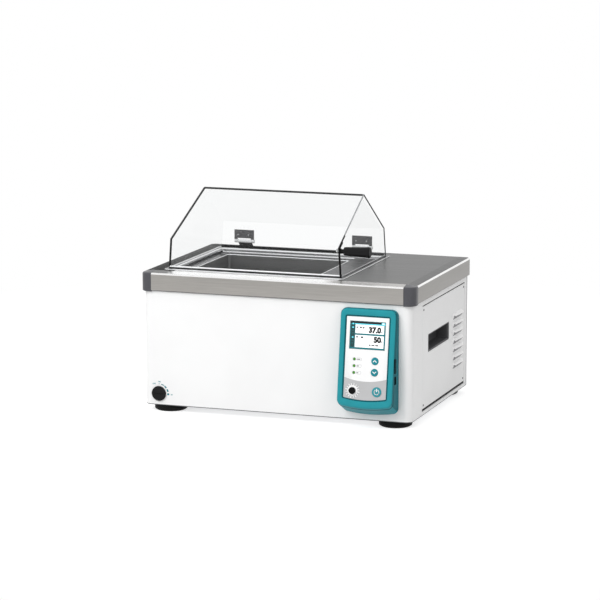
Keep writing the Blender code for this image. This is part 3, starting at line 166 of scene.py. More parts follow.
class Shader(Wiring):
    """A Principled material over the wiring calls."""

    def __init__(self, name, colour, roughness, metallic=0.0, **sockets):
        self.material = bpy.data.materials.new(name)
        self.material.use_nodes = True
        super().__init__(self.material.node_tree)
        self.shader = self.nodes["Principled BSDF"]
        self.output = self.nodes["Material Output"]
        self.shader.inputs["Base Color"].default_value = colour
        self.shader.inputs["Roughness"].default_value = roughness
        self.shader.inputs["Metallic"].default_value = metallic
        for socket, value in sockets.items():
            self.shader.inputs[socket.replace("_", " ")].default_value = value
        self.coordinates = self.nodes.new("ShaderNodeTexCoord")

    def mapped(self, scale, turn=(0, 0, 0)):
        mapping = self.add("ShaderNodeMapping")
        mapping.inputs["Scale"].default_value = scale
        mapping.inputs["Rotation"].default_value = turn
        self.link(self.coordinates.outputs["Object"], mapping.inputs["Vector"])
        return mapping.outputs["Vector"]

    def noise(self, scale, detail=3.0, roughness=0.55, vector=None):
        node = self.add("ShaderNodeTexNoise")
        node.inputs["Scale"].default_value = scale
        node.inputs["Detail"].default_value = detail
        node.inputs["Roughness"].default_value = roughness
        self.link(vector or self.coordinates.outputs["Object"], node.inputs["Vector"])
        return node.outputs["Fac"]

    def ramp(self, value, *stops):
        node = self.add("ShaderNodeValToRGB")
        elements = node.color_ramp.elements
        while len(elements) < len(stops):
            elements.new(0.5)
        for element, (place, colour) in zip(elements, stops):
            element.position = place
            element.color = colour if len(colour) == 4 else (*colour, 1.0)
        self.link(value, node.inputs["Fac"])
        return node.outputs["Color"]

    def mixed(self, share, first, second, blend="MIX"):
        """A colour mix: share, first and second are each a socket or a plain value."""
        node = self.add("ShaderNodeMix", data_type="RGBA", blend_type=blend)
        for socket, value in ((node.inputs[0], share), (node.inputs[6], first), (node.inputs[7], second)):
            if isinstance(value, bpy.types.NodeSocket):
                self.link(value, socket)
            else:
                socket.default_value = value
        return node.outputs[2]

    def axis(self, name, source="Object"):
        """One axis of the object's own place, or of the surface's normal."""
        node = self.add("ShaderNodeSeparateXYZ")
        if source == "Normal":
            self.link(self.add("ShaderNodeNewGeometry").outputs["True Normal"], node.inputs["Vector"])
        else:
            self.link(self.coordinates.outputs[source], node.inputs["Vector"])
        return node.outputs[name]

    def base(self, socket):
        self.link(socket, self.shader.inputs["Base Color"])
        return self

    def rough(self, socket):
        self.link(socket, self.shader.inputs["Roughness"])
        return self

    def bump(self, height, strength, distance=0.0002):
        node = self.add("ShaderNodeBump")
        node.inputs["Strength"].default_value = strength
        node.inputs["Distance"].default_value = distance
        self.link(height, node.inputs["Height"])
        self.link(node.outputs["Normal"], self.shader.inputs["Normal"])
        return self


def speckled(name, colour, roughness, scale, contrast=0.06, bump=0.1, distance=0.0001, spread=0.08, **more):
    """A moulded or painted finish: fine relief, a little drift of tone and of gloss."""
    made = Shader(name, colour, roughness, **more)
    fine = made.noise(scale, 4.0)
    broad = made.noise(scale / 40, 2.0)
    darker = tuple(value * (1 - contrast) for value in colour[:3])
    lighter = tuple(min(1.0, value * (1 + contrast)) for value in colour[:3])
    made.base(made.ramp(broad, (0.3, darker), (0.7, lighter)))
    made.rough(made.ranged(fine, 0.3, 0.7, roughness - spread, roughness + spread))
    made.bump(fine, bump, distance)
    return made


def powder(name, colour, roughness=0.42):
    """Powder coat: a fine orange-peel skin over sheet steel."""
    made = Shader(name, colour, roughness, Specular_IOR_Level=0.25)
    peel = made.noise(700.0, 2.0)
    broad = made.noise(9.0, 2.0)
    darker = tuple(value * 0.975 for value in colour[:3])
    made.base(made.ramp(broad, (0.35, darker), (0.65, colour[:3])))
    made.rough(made.ranged(peel, 0.3, 0.7, roughness - 0.06, roughness + 0.06))
    made.bump(peel, 0.12, 0.00005)
    return made.material


def brushed(name, colour, roughness, contrast=0.10, painted_top_tone=None, along="x", flank_shade=1.0, left=0.0, front=None):
    """Brushed sheet metal, its grain along the length of each face. Lying faces can get their own tone, and
    the tops can get a darker left end, a white front strip and darker sideways faces: painted reflection,
    highlight and shade.
    """
    made = Shader(name, colour, roughness, 1.0)
    long_way, fast = 5.0, 1500.0
    up = made.noise(1.0, 4.0, 0.6, made.mapped((long_way, long_way, fast)))
    flat_scale = (long_way, fast, long_way) if along == "x" else (fast, long_way, long_way)
    flat = made.noise(1.0, 4.0, 0.6, made.mapped(flat_scale))
    lying = made.math("ABSOLUTE", made.axis("Z", "Normal"))
    lying = made.math("GREATER_THAN", lying, 0.7)
    grain = made.mixed(lying, up, flat)
    broad = made.noise(6.0, 2.0, 0.5, made.mapped((1.0, 1.0, 4.0)))
    darker = tuple(value * (1 - contrast) for value in colour[:3])
    lighter = tuple(min(1.0, value * (1 + contrast)) for value in colour[:3])
    tone = made.ramp(grain, (0.32, darker), (0.68, lighter))
    # Painted reflection and shade: lying faces take their own tone, apart from the upright faces of the same
    # metal.
    if painted_top_tone:
        top_dark = tuple(value * (1 - contrast / 2) for value in painted_top_tone[:3])
        top_light = tuple(value * (1 + contrast / 2) for value in painted_top_tone[:3])
        tone = made.mixed(lying, tone, made.ramp(grain, (0.32, top_dark), (0.68, top_light)))
    # Painted highlight: lying faces in front of the lid, within the given x span, turn white.
    if front:
        strip = made.math("LESS_THAN", made.axis("Y"), front[0])
        strip = made.math("MULTIPLY", strip, made.math("GREATER_THAN", made.axis("X"), front[1]))
        strip = made.math("MULTIPLY", strip, made.math("LESS_THAN", made.axis("X"), front[2]))
        strip = made.math("MULTIPLY", strip, lying)
    # Painted shade: the tops darken towards the left end of the deck, by the left value.
    if painted_top_tone and left:
        shade = made.ramp(
            made.ranged(made.axis("X"), -0.265, 0.265, 0.0, 1.0), (0.07, (left,) * 3),
            (0.15, (1.0, 1.0, 1.0)),
        )
        tone = made.mixed(lying, tone, made.mixed(1.0, tone, shade, "MULTIPLY"))
    if front:
        tone = made.mixed(strip, tone, (1.0, 1.0, 1.0, 1.0))
    # Painted shade: faces turned sideways are darkened by this factor.
    if flank_shade != 1.0:
        sideways = made.math("GREATER_THAN", made.math("ABSOLUTE", made.axis("X", "Normal")), 0.8)
        tone = made.mixed(sideways, tone, made.mixed(1.0, tone, (flank_shade, flank_shade, flank_shade, 1.0), "MULTIPLY"))
    drift = made.ramp(broad, (0.3, (0.93, 0.93, 0.93)), (0.7, (1.0, 1.0, 1.0)))
    coarse = made.noise(1.0, 3.0, 0.6, made.mapped((26.0, 26.0, 420.0)))
    streak = made.ramp(coarse, (0.34, (0.93, 0.93, 0.93)), (0.66, (1.0, 1.0, 1.0)))
    tone = made.mixed(1.0, tone, streak, "MULTIPLY")
    made.base(made.mixed(1.0, tone, drift, "MULTIPLY"))
    satin_way = made.ranged(grain, 0.3, 0.7, roughness - 0.05, roughness + 0.07)
    if left:
        duller = made.math("MULTIPLY", lying, made.ranged(made.axis("X"), -0.228, -0.185, 0.30, 0.0))
        satin_way = made.math("ADD", satin_way, duller)
    made.rough(satin_way)
    made.bump(grain, 0.10, 0.00003)
    return made.material


def painted_margin_highlight(name):
    """The deck's front slope, with painted light: a painted white highlight where it lies before the lid,
    painted shade at the left end and mid grey at the right.
    """
    made = Shader(name, (0.8, 0.8, 0.8, 1.0), 0.30, 0.6)
    along = made.axis("X")
    tone = made.ramp(
        made.ranged(along, -0.265, 0.265, 0.0, 1.0),
        (0.00, (0.14, 0.14, 0.14)), (0.095, (0.16, 0.16, 0.16)), (0.118, (1.0, 1.0, 1.0)),
        (0.67, (1.0, 0.995, 0.99)), (0.71, (0.42, 0.41, 0.40)), (0.95, (0.48, 0.47, 0.46)),
    )
    grain = made.noise(1.0, 4.0, 0.6, made.mapped((5.0, 1500.0, 5.0)))
    fleck = made.ramp(grain, (0.3, (0.92, 0.92, 0.92)), (0.7, (1.0, 1.0, 1.0)))
    made.base(made.mixed(1.0, tone, fleck, "MULTIPLY"))
    made.rough(made.ranged(grain, 0.3, 0.7, 0.20, 0.30))
    return made.material


def satin(name, colour, roughness, contrast=0.05):
    """Machined or cast metal with a soft, even sheen."""
    made = speckled(name, colour, roughness, 900.0, contrast, 0.06, 0.00003, 0.05, metallic=1.0)
    return made.material


def plastic(name, colour, roughness=0.4, contrast=0.05, gloss=0.3):
    made = speckled(name, colour, roughness, 1500.0, contrast, 0.10, 0.00004, 0.05, Specular_IOR_Level=gloss)
    return made.material


def hinge_metal(name, highlight_low, highlight_high):
    """Dark plated hinge sheet, with a near-white, non-metal band between two heights: a painted highlight
    where the gap by the leaf shows bright.
    """
    made = Shader(name, hexed(92, 92, 94), 0.45, 1.0)
    height = made.axis("Z")
    # Painted highlight band between the two heights.
    barrel = made.math(
        "MULTIPLY", made.math("GREATER_THAN", height, highlight_low),
        made.math("LESS_THAN", height, highlight_high),
    )
    fine = made.noise(900.0, 3.0)
    dark = made.ramp(fine, (0.3, hexed(86, 86, 88)), (0.7, hexed(97, 97, 99)))
    pale = made.ramp(fine, (0.3, hexed(240, 241, 242)), (0.7, hexed(250, 251, 252)))
    made.base(made.mixed(barrel, dark, pale))
    made.link(made.math("SUBTRACT", 1.0, barrel), made.shader.inputs["Metallic"])
    made.rough(made.ranged(fine, 0.3, 0.7, 0.38, 0.5))
    return made.material


def clear_acrylic(name):
    """Clear sheet: mostly see-through, with a gloss that grows towards the edge of view."""
    made = Shader(name, (0.92, 0.935, 0.94, 1.0), 0.05, Specular_IOR_Level=0.5)
    scuffs = made.noise(60.0, 3.0)
    made.rough(made.ranged(scuffs, 0.3, 0.7, 0.03, 0.07))
    broad = made.noise(7.0, 2.0)
    made.base(made.ramp(broad, (0.3, (0.90, 0.915, 0.92)), (0.7, (0.95, 0.96, 0.96))))
    through = made.add("ShaderNodeBsdfTransparent")
    through.inputs["Color"].default_value = (0.992, 0.994, 0.994, 1.0)
    fresnel = made.add("ShaderNodeFresnel")
    fresnel.inputs["IOR"].default_value = 1.45
    share = made.ranged(fresnel.outputs[0], 0.0, 1.0, 0.0, 0.6)
    inner = made.add("ShaderNodeNewGeometry")
    share = made.math("MULTIPLY", share, made.math("SUBTRACT", 1.0, inner.outputs["Backfacing"]))
    shadow = made.add("ShaderNodeLightPath")
    share = made.math("MULTIPLY", share, made.math("SUBTRACT", 1.0, shadow.outputs["Is Shadow Ray"]))
    surface = made.blend(share, through.outputs[0], made.shader.outputs[0])
    made.link(surface, made.output.inputs["Surface"])
    return made.material


def lit(name, colour, strength, dim=None, scale=900.0):
    """A back-lit patch of the screen, with the faint mesh of its cells."""
    made = Shader(name, colour, 0.25)
    cells = made.noise(scale, 1.0)
    low = dim or tuple(value * 0.96 for value in colour[:3])
    tone = made.ramp(cells, (0.35, low), (0.65, colour[:3]))
    made.base(tone)
    made.link(tone, made.shader.inputs["Emission Color"])
    made.shader.inputs["Emission Strength"].default_value = strength
    return made.material


white = powder("white_powder", (0.90, 0.90, 0.90, 1.0))
# Painted highlight: the louvre hoods are a brighter white than the panel around them.
hood_highlight_white = powder("hood_painted_highlight", (0.98, 0.98, 0.98, 1.0), 0.36)
# Painted shadow: grey on the wrap's lowest edge.
hem_shadow_grey = plastic("hem_shadow_grey", hexed(112, 113, 115), 0.5, 0.05, 0.1)
# Painted shadow: a grey strip along the lower edge of each louvre.
louvre_slot_shadow = plastic("louvre_slot_shadow", hexed(112, 112, 114), 0.6, 0.06, 0.1)
# Painted shade on the lower part of each louvre hood.
louvre_shade = plastic("louvre_painted_shade", hexed(158, 158, 160), 0.6, 0.06, 0.1)
# Span of the painted white highlight on the deck's top before the lid.
highlight_before_lid = (rim_low.y + 0.0005, lid_low.x + 0.016, lid_high.x)
# Deck steel: darker lying tops, a painted highlight before the lid, and painted shade at the left end and on
# the sides.
steel = brushed(
    "deck_steel", (0.40, 0.385, 0.365, 1.0), 0.34, 0.11,
    painted_top_tone=(0.092, 0.092, 0.092, 1.0), flank_shade=0.73, left=0.34, front=highlight_before_lid,
)
# Painted highlight: near-white steel on the deck's upper bend and on the ledge cover's sides.
bend_highlight_steel = brushed("bend_painted_highlight", (0.99, 0.985, 0.98, 1.0), 0.18, 0.01)
margin_highlight_steel = painted_margin_highlight("deck_margin")
# Painted highlight: near-white lines on the rim's rolled edges, round the basin's mouth and along the recess
# bead.
rim_highlight_white = plastic("rim_painted_highlight", hexed(252, 253, 255), 0.25, 0.015, 0.6)
# Painted shadow at the foot of the left recess wall.
wall_foot_shadow = brushed("wall_foot_painted_shadow", (0.05, 0.05, 0.052, 1.0), 0.45, 0.08)
# Painted shadow: dark steel on the deck's lower hem, under the band.
hem_shadow_steel = brushed("deck_hem_shadow", (0.10, 0.10, 0.10, 1.0), 0.45, 0.06)
# Painted reflection: the rim's lying faces are given a darker tone than its upright faces.
tank_steel = brushed("tank_steel", (0.16, 0.16, 0.165, 1.0), 0.30, 0.08, painted_top_tone=(0.085, 0.085, 0.087, 1.0))
# Painted reflection: the recess walls are a bright bluish white, and the ledge takes a dark top tone.
recess_reflection_steel = brushed("recess_reflection_steel", (0.95, 0.96, 0.99, 1.0), 0.20, 0.05, painted_top_tone=(0.14, 0.14, 0.145, 1.0))
cover_steel = brushed("cover_steel", (0.10, 0.10, 0.103, 1.0), 0.40, 0.08)
basin_steel = brushed("basin_steel", (0.38, 0.38, 0.383, 1.0), 0.42, 0.06)
tray_steel = brushed("tray_steel", (0.40, 0.40, 0.40, 1.0), 0.36, 0.08)
cap_grey = plastic("cap_grey", hexed(72, 72, 77), 0.30, 0.05, 0.40)
black = plastic("black_plastic", hexed(20, 20, 21), 0.45, 0.05, 0.15)
jog_black = plastic("jog_plastic", hexed(9, 9, 10), 0.5, 0.05, 0.1)
hold_black = plastic("hold_plastic", hexed(76, 76, 78), 0.45, 0.05, 0.2)
black_soft = plastic("black_rubber", hexed(16, 16, 16), 0.6, 0.05, 0.12)
teal = plastic("teal_plastic", hexed(30, 142, 153), 0.42, 0.04, 0.3)
# Dark teal: the parting line and the side cover, and the painted recess shadow round the face plate's window.
teal_dark_and_shade = plastic("teal_dark_and_shade", hexed(4, 84, 92), 0.5, 0.04, 0.15)
# Painted shade: the housing's sideways faces are a darker teal than its front.
teal_side_shade = plastic("teal_painted_side_shade", hexed(6, 104, 114), 0.45, 0.04, 0.2)
scale_teal = plastic("scale_ink", hexed(0, 122, 132), 0.5, 0.03, 0.1)
label_teal = plastic("label_ink", hexed(70, 150, 156), 0.5, 0.03, 0.1)
key_teal = plastic("key_teal", hexed(26, 132, 144), 0.36)
power_teal = plastic("power_teal", hexed(50, 142, 152), 0.36)
plate_white = plastic("plate_white", hexed(243, 243, 243), 0.45, 0.015)
plate_grey = plastic("plate_grey", hexed(187, 187, 188), 0.45, 0.02)
ink_white = plastic("ink_white", (1.0, 1.0, 1.0, 1.0), 0.5, 0.01)
ink_grey = plastic("ink_grey", hexed(178, 180, 182), 0.5, 0.02)
ink_mark = plastic("ink_mark", hexed(92, 94, 96), 0.5, 0.05, 0.15)
glass = clear_acrylic("clear_acrylic")
# Painted lines along the lid's edges: black for painted shadow and dark reflection, dark grey and grey for
# painted reflection, white for painted highlight. The grey also draws the painted shade on the wrap's rear
# edges.
edge_shadow_black = plastic("shadowed_edge", hexed(10, 11, 12), 0.5, 0.10, 0.08)
edge_dark_painted = plastic("painted_dark_edge", hexed(46, 48, 50), 0.3, 0.10, 0.15)
edge_grey_painted = plastic("painted_grey_edge", hexed(150, 152, 154), 0.2, 0.05)
edge_white_highlight = plastic("painted_edge_highlight", hexed(244, 245, 246), 0.3, 0.02)
hinge_steel = hinge_metal(
    "hinge_steel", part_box("hinge_leaf_left")[0].z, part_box("hinge_bracket_left")[1].z + 0.0002,
)
bright = satin("bright_steel", (0.62, 0.62, 0.62, 1.0), 0.22)
zinc = satin("zinc_plate", (0.52, 0.53, 0.55, 1.0), 0.38, 0.12)
aluminium = satin("aluminium", (0.66, 0.66, 0.67, 1.0), 0.36)
brass = satin("nickel_brass", (0.58, 0.55, 0.48, 1.0), 0.26)
magnet = plastic("magnet_case", hexed(38, 38, 42), 0.35)
motor_paint = plastic("motor_enamel", hexed(48, 52, 58), 0.36)
foil = satin("heating_foil", hexed(176, 122, 60), 0.5, 0.12)
glide = plastic("white_glide", hexed(226, 224, 218), 0.42)
board_green = plastic("board_laminate", hexed(22, 84, 50), 0.4, 0.15)
red = plastic("red_lever", hexed(176, 30, 28), 0.4)
lens_green = lit("green_lens", hexed(70, 134, 44), 0.25, hexed(58, 118, 36)[:3])
screen_black = lit("screen_black", hexed(8, 10, 11), 0.1)
screen_teal = lit("screen_teal", hexed(8, 104, 112), 0.35, hexed(7, 92, 100)[:3])
screen_deep = lit("screen_deep", hexed(6, 58, 60), 0.15)
screen_white = lit("screen_white", hexed(246, 248, 248), 0.35)
screen_cyan = lit("screen_cyan", hexed(96, 206, 222), 0.4)
# Near-black: painted shadow behind the side panels' seams and in the screw recesses, and the black of the
# socket, the cover seam and the screen's figures.
shadow_and_ink_black = plastic("painted_shadow_and_ink", hexed(6, 6, 7), 0.7, 0.05, 0.1)


# ---------------------------------------------------------------- mesh helpers


def bounded(name, shape, finish, body="casing", smooth=38, replaces=()):
    """One piece from a shape, its points and faces, that rides on a body."""
    points, faces = shape
    grid = bmesh.new()
    corners = [grid.verts.new(point) for point in points]
    for face in faces:
        if len(set(face)) > 2:
            grid.faces.new([corners[index] for index in face])
    bmesh.ops.remove_doubles(grid, verts=grid.verts, dist=1e-7)
    bmesh.ops.recalc_face_normals(grid, faces=grid.faces)
    mesh = bpy.data.meshes.new(name)
    grid.to_mesh(mesh)
    grid.free()
    return added(name, mesh, finish, body, smooth, replaces)


def added(name, mesh, finish, body="casing", smooth=38, replaces=()):
    thing = bpy.data.objects.new(name, mesh)
    finishes = finish if isinstance(finish, (list, tuple)) else [finish]
    mesh.materials.clear()
    for one in finishes:
        mesh.materials.append(one)
    bpy.context.scene.collection.objects.link(thing)
    if smooth:
        mesh.shade_smooth()
        mesh.set_sharp_from_angle(angle=radians(smooth))
    if replaces:
        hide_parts(*replaces)
    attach(thing, body)
    return thing


def merged(*shapes):
    points, faces = [], []
    for more_points, more_faces in shapes:
        start = len(points)
        points += list(more_points)
        faces += [[index + start for index in face] for face in more_faces]
    return points, faces


def lofted(loops, ring=False, caps=True):
    """Loops of equal length joined in turn."""
    count = len(loops[0])
    points = [point for loop in loops for point in loop]
    pairs = [(index, index + 1) for index in range(len(loops) - 1)]
    if ring:
        pairs.append((len(loops) - 1, 0))
    faces = []
    for low, high in pairs:
        for step in range(count):
            after = (step + 1) % count
            faces.append((low * count + step, low * count + after, high * count + after, high * count + step))
    if caps and not ring:
        faces.append(tuple(range(count)))
        faces.append(tuple(range((len(loops) - 1) * count, len(loops) * count)))
    return points, faces


def rounded(left, right, front, back, radii, steps=8):
    """A rectangle's outline with its own radius at front right, back right, back left, front left."""
    corners = ((right, front, 1, -1), (right, back, 1, 1), (left, back, -1, 1), (left, front, -1, -1))
    if not isinstance(radii, (list, tuple)):
        radii = [radii] * 4
    outline = []
    for number, (x, y, side_x, side_y) in enumerate(corners):
        radius = max(radii[number], 0.0002)
        for step in range(steps + 1):
            angle = (number - 1 + step / steps) * pi / 2
            outline.append(
                (x - side_x * radius + radius * cos(angle), y - side_y * radius + radius * sin(angle))
            )
    return outline


def drawn_in(box, inset, radii, steps=8):
    """A rounded outline inside the box (left, right, front, back) by the inset."""
    left, right, front, back = box
    return rounded(left + inset, right - inset, front + inset, back - inset, radii, steps)


def level(outline, z):
    return [(x, y, z) for x, y in outline]


def along_x(outline, x):
    return [(x, y, z) for y, z in outline]


def along_y(outline, y):
    return [(x, y, z) for x, z in outline]


def block(left, right, front, back, low, high):
    outline = [(left, front), (right, front), (right, back), (left, back)]
    return lofted([level(outline, low), level(outline, high)])


def turned(profile, centre, axis="Z", sides=64, ring=False):
    """A profile of (radius, distance) turned about an axis through the centre."""
    loops = []
    for radius, distance in profile:
        loop = []
        for step in range(sides):
            angle = 2 * pi * step / sides
            first, second = radius * cos(angle), radius * sin(angle)
            offset = {
                "Z": (first, second, distance), "Y": (first, distance, second),
                "X": (distance, first, second),
            }
            loop.append(tuple(a + b for a, b in zip(centre, offset[axis])))
        loops.append(loop)
    return lofted(loops, ring)


def ribbed(profile, sides, rib, place):
    """A profile of (radius, distance) whose every second line is drawn in where rib gives a depth."""
    loops = []
    for radius, distance in profile:
        loop = []
        for step in range(sides):
            angle = 2 * pi * step / sides
            r = radius - rib(radius) * (step % 2)
            loop.append(place(r * cos(angle), r * sin(angle), distance))
        loops.append(loop)
    return lofted(loops)


def fillet(start, corner, end, steps=5):
    """Points on a smooth bend from start to end round a corner."""
    made = []
    for step in range(steps + 1):
        t = step / steps
        made.append(
            tuple((1 - t) ** 2 * a + 2 * t * (1 - t) * b + t * t * c for a, b, c in zip(start, corner, end))
        )
    return made


def carve(thing, *shapes):
    """Cuts closed shapes out of a piece, and keeps only the result."""
    for points, faces in shapes:
        grid = bmesh.new()
        corners = [grid.verts.new(point) for point in points]
        for face in faces:
            grid.faces.new([corners[index] for index in face])
        bmesh.ops.recalc_face_normals(grid, faces=grid.faces)
        mesh = bpy.data.meshes.new("tool")
        grid.to_mesh(mesh)
        grid.free()
        tool = bpy.data.objects.new("tool", mesh)
        bpy.context.scene.collection.objects.link(tool)
        modifier = thing.modifiers.new("Cut", "BOOLEAN")
        modifier.operation = "DIFFERENCE"
        modifier.solver = "EXACT"
        modifier.object = tool
        graph = bpy.context.evaluated_depsgraph_get()
        made = bpy.data.meshes.new_from_object(thing.evaluated_get(graph))
        thing.modifiers.clear()
        old = thing.data
        thing.data = made
        bpy.data.meshes.remove(old)
        bpy.data.objects.remove(tool)
    thing.data.shade_smooth()
    thing.data.set_sharp_from_angle(angle=radians(38))
    return thing


def bevelled(thing, width, segments=3, angle=40):
    modifier = thing.modifiers.new("Bevel", "BEVEL")
    modifier.width = width
    modifier.segments = segments
    modifier.limit_method = "ANGLE"
    modifier.angle_limit = radians(angle)
    modifier.harden_normals = True
    return thing


def lettered(name, text, height, place, finish, bold=0.0, body="casing", depth=0.0):
    """A number or a mark as a thin mesh, set upright in its own frame and moved to its place."""
    curve = bpy.data.curves.new(name, "FONT")
    curve.body = text
    curve.size = height
    curve.offset = bold
    curve.extrude = depth
    curve.resolution_u = 4
    curve.align_x = "CENTER"
    curve.align_y = "CENTER"
    source = bpy.data.objects.new(name, curve)
    bpy.context.scene.collection.objects.link(source)
    graph = bpy.context.evaluated_depsgraph_get()
    mesh = bpy.data.meshes.new_from_object(source.evaluated_get(graph))
    bpy.data.objects.remove(source)
    mesh.transform(place)
    return added(name, mesh, finish, body, 0)


# ---------------------------------------------------------------- deck and casing


def deck_outline(inset):
    front = max(cap_radius - inset, 0.0006)
    rear = max(rear_radius - inset, 0.0006)
    return rounded(
        deck_low.x + inset, deck_high.x - inset, deck_low.y + inset, deck_high.y - inset,
        [front, rear, rear, front],
    )


def make_deck():
    """Steel cover with a soft upper edge, a faint margin slope and a rolled lower hem."""
    hole = (recess[0] - 0.0015, recess[1] + 0.0015, recess[2] - 0.0015, recess[3] + 0.0015)
    profile = [(0.0016, band_bottom + 0.0004), (0.0, band_bottom + 0.0017), (0.0, band_top - 0.0024)]
    profile += fillet((0.0, band_top - 0.0024), (0.0, band_top), (0.0026, band_top + 0.0004))[1:]
    profile += [
        (margin_width - 0.0012, flat_top - 0.0002), (margin_width, flat_top),
        (margin_width + 0.0012, flat_top),
    ]
    loops = [level(deck_outline(0.0030), band_bottom)]
    loops += [level(deck_outline(inset), z) for inset, z in profile]
    cut_out = rounded(*hole, 0.0072)
    loops += [level(cut_out, flat_top), level(cut_out, flat_top - deck_sheet)]
    loops += [level(deck_outline(margin_width), flat_top - deck_sheet)]
    loops += [
        level(deck_outline(deck_sheet), band_top - deck_sheet),
        level(deck_outline(deck_sheet), band_bottom + 0.002),
    ]
    loops += [level(deck_outline(0.0030), band_bottom + 0.002)]
    points, faces = lofted(loops, ring=True)
    finishes = [steel, bend_highlight_steel, margin_highlight_steel, hem_shadow_steel]
    deck = bounded(
        "deck_sheet_metal", (points, faces), finishes, replaces=["deck_cover"],
    )
    # Painted highlight on the upper bend, painted shadow on the lower hem, and the painted highlight of the
    # front slope.
    for polygon in deck.data.polygons:
        y, z = polygon.center.y, polygon.center.z
        bend = band_top - 0.0025 < z < band_top + 0.0005 and abs(polygon.normal.z) < 0.98
        if bend and polygon.normal.z > -0.98:
            polygon.material_index = 1
        elif z < band_bottom + 0.0019 and polygon.normal.z < 0.2:
            polygon.material_index = 3
        elif y < deck_low.y + margin_width and polygon.normal.y < -0.05 and polygon.normal.z > 0.8:
            polygon.material_index = 2
    reach = cap_size + 0.0003
    for edge in (deck_low.x, deck_high.x):
        inner = edge + reach if edge < 0 else edge - reach
        left, right = sorted((edge + (0.004 if edge > 0 else -0.004), inner))
        carve(
            deck,
            block(left, right, deck_low.y - 0.004, deck_low.y + reach, band_bottom - 0.004, flat_top + 0.004),
        )


def hand(side):
    return "right" if side > 0 else "left"


def cap_point(outline, apex, share):
    return [(x + (apex[0] - x) * share, y + (apex[1] - y) * share) for x, y in outline]


def make_cap(name, side):
    """Moulded corner cap with a rounded crown."""
    edge = deck_high.x * side
    inner = edge - side * cap_size
    back = deck_low.y + cap_size
    outline = [(inner, back - step * (cap_size / 8)) for step in range(8)] + [(inner, deck_low.y)]
    for step in range(25):
        angle = step / 24 * pi / 2
        outline.append(
            (edge - side * cap_radius * (1 - sin(angle)), deck_low.y + cap_radius * (1 - cos(angle)))
        )
    outline += [(edge, back)] + [(edge - side * step * (cap_size / 8), back) for step in range(1, 8)]
    apex = (inner, back)

    def crown(share):
        inset = share * cap_size
        return band_top + margin_rise * min(inset / margin_width, 1.0)

    low = band_bottom - 0.001
    loops = [level(cap_point(outline, apex, 0.05), low)]
    loops += [level(outline, low + 0.001), level(outline, band_top - 0.0026)]
    for step in range(1, 6):
        angle = step / 5 * pi / 2
        share = 0.0032 * (1 - cos(angle)) / cap_size
        z = band_top - 0.0026 + (crown(0.15) - band_top + 0.0026) * sin(angle)
        loops.append(level(cap_point(outline, apex, share), z))
    for share in (0.3, 0.5, 0.7, 0.88, 0.97):
        loops.append(level(cap_point(outline, apex, share), crown(share)))
    inside = [level(cap_point(outline, apex, 0.97), crown(0.97) - 0.0014)]
    inside += [level(cap_point(outline, apex, share), crown(share) - 0.0014) for share in (0.7, 0.4, 0.14)]
    inside.append(level(cap_point(outline, apex, 0.12), band_top - 0.004))
    inside.append(level(cap_point(outline, apex, 0.12), low))
    bounded(
        name, lofted(loops + inside, ring=True), cap_grey,
        replaces=[f"corner_cap_{hand(side)}"],
    )


window_front = body_front + 0.0645
window_back = body_back - 0.017
window_low = base_bottom + 0.0075
window_high = band_bottom - 0.0105


def make_wrap():
    """Powder-coated wrap with broad bends at its two front corners."""

    def bent(inset):
        radius = casing_radius - inset
        path = [(body_left + inset, body_back)]
        for centre_x, start in ((body_left + casing_radius, pi), (body_right - casing_radius, 3 * pi / 2)):
            for step in range(25):
                angle = start + step / 24 * pi / 2
                path.append(
                    (centre_x + radius * cos(angle), body_front + casing_radius + radius * sin(angle))
                )
        path.append((body_right - inset, body_back))
        return path

    outline = bent(0.0) + bent(sheet)[::-1]
    eased = bent(0.0008) + bent(sheet - 0.0002)[::-1]
    loops = [level(eased, base_bottom)]
    loops += [level(outline, z) for z in (base_bottom + 0.0010, base_bottom + 0.0017, wrap_high.z)]
    wrap = bounded(
        "casing_wrap", lofted(loops), [white, hem_shadow_grey], replaces=["front_wrap"],
    )
    # The lowest 1.7 mm of the wrap takes the painted shadow grey.
    for polygon in wrap.data.polygons:
        if polygon.center.z < base_bottom + 0.0017:
            polygon.material_index = 1
    wires = (panel_x - 0.025, panel_x + 0.025, body_front - 0.004, body_front + 0.004)
    dial_x, dial_z = limit_centre()
    carve(
        wrap,
        block(body_left - 0.004, body_left + 0.004, window_front, window_back, window_low, window_high),
        block(body_right - 0.004, body_right + 0.004, window_front, window_back, window_low, window_high),
        block(*wires, panel_top - 0.140, panel_top - 0.070),
        turned([(0.0033, -0.004), (0.0033, 0.004)], (dial_x, body_front, dial_z), "Y", 32),
    )


def make_rear_edges():
    """The wrap's folded rear edges: a thin grey rod down each side, painted shade along the fold."""
    shapes = []
    for edge, out in ((body_right, 0.0002), (body_left, -0.0002)):
        at = (edge - (0.0006 if edge > 0 else -0.0006) + out, body_back - 0.0012)
        shapes.append(strip((*at, base_bottom + 0.0012), (*at, band_bottom - 0.0006), 0.0022))
    bounded("wrap_rear_edges", merged(*shapes), edge_grey_painted)


def limit_centre():
    low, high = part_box("limit_dial")
    return (low.x + high.x) / 2, (low.z + high.z) / 2


def hold_box():
    low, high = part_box("hand_hold_right")
    return low.y - 0.0003, high.y + 0.0003, low.z - 0.0003, high.z + 0.0003


def side_face(side):
    return body_right if side > 0 else body_left


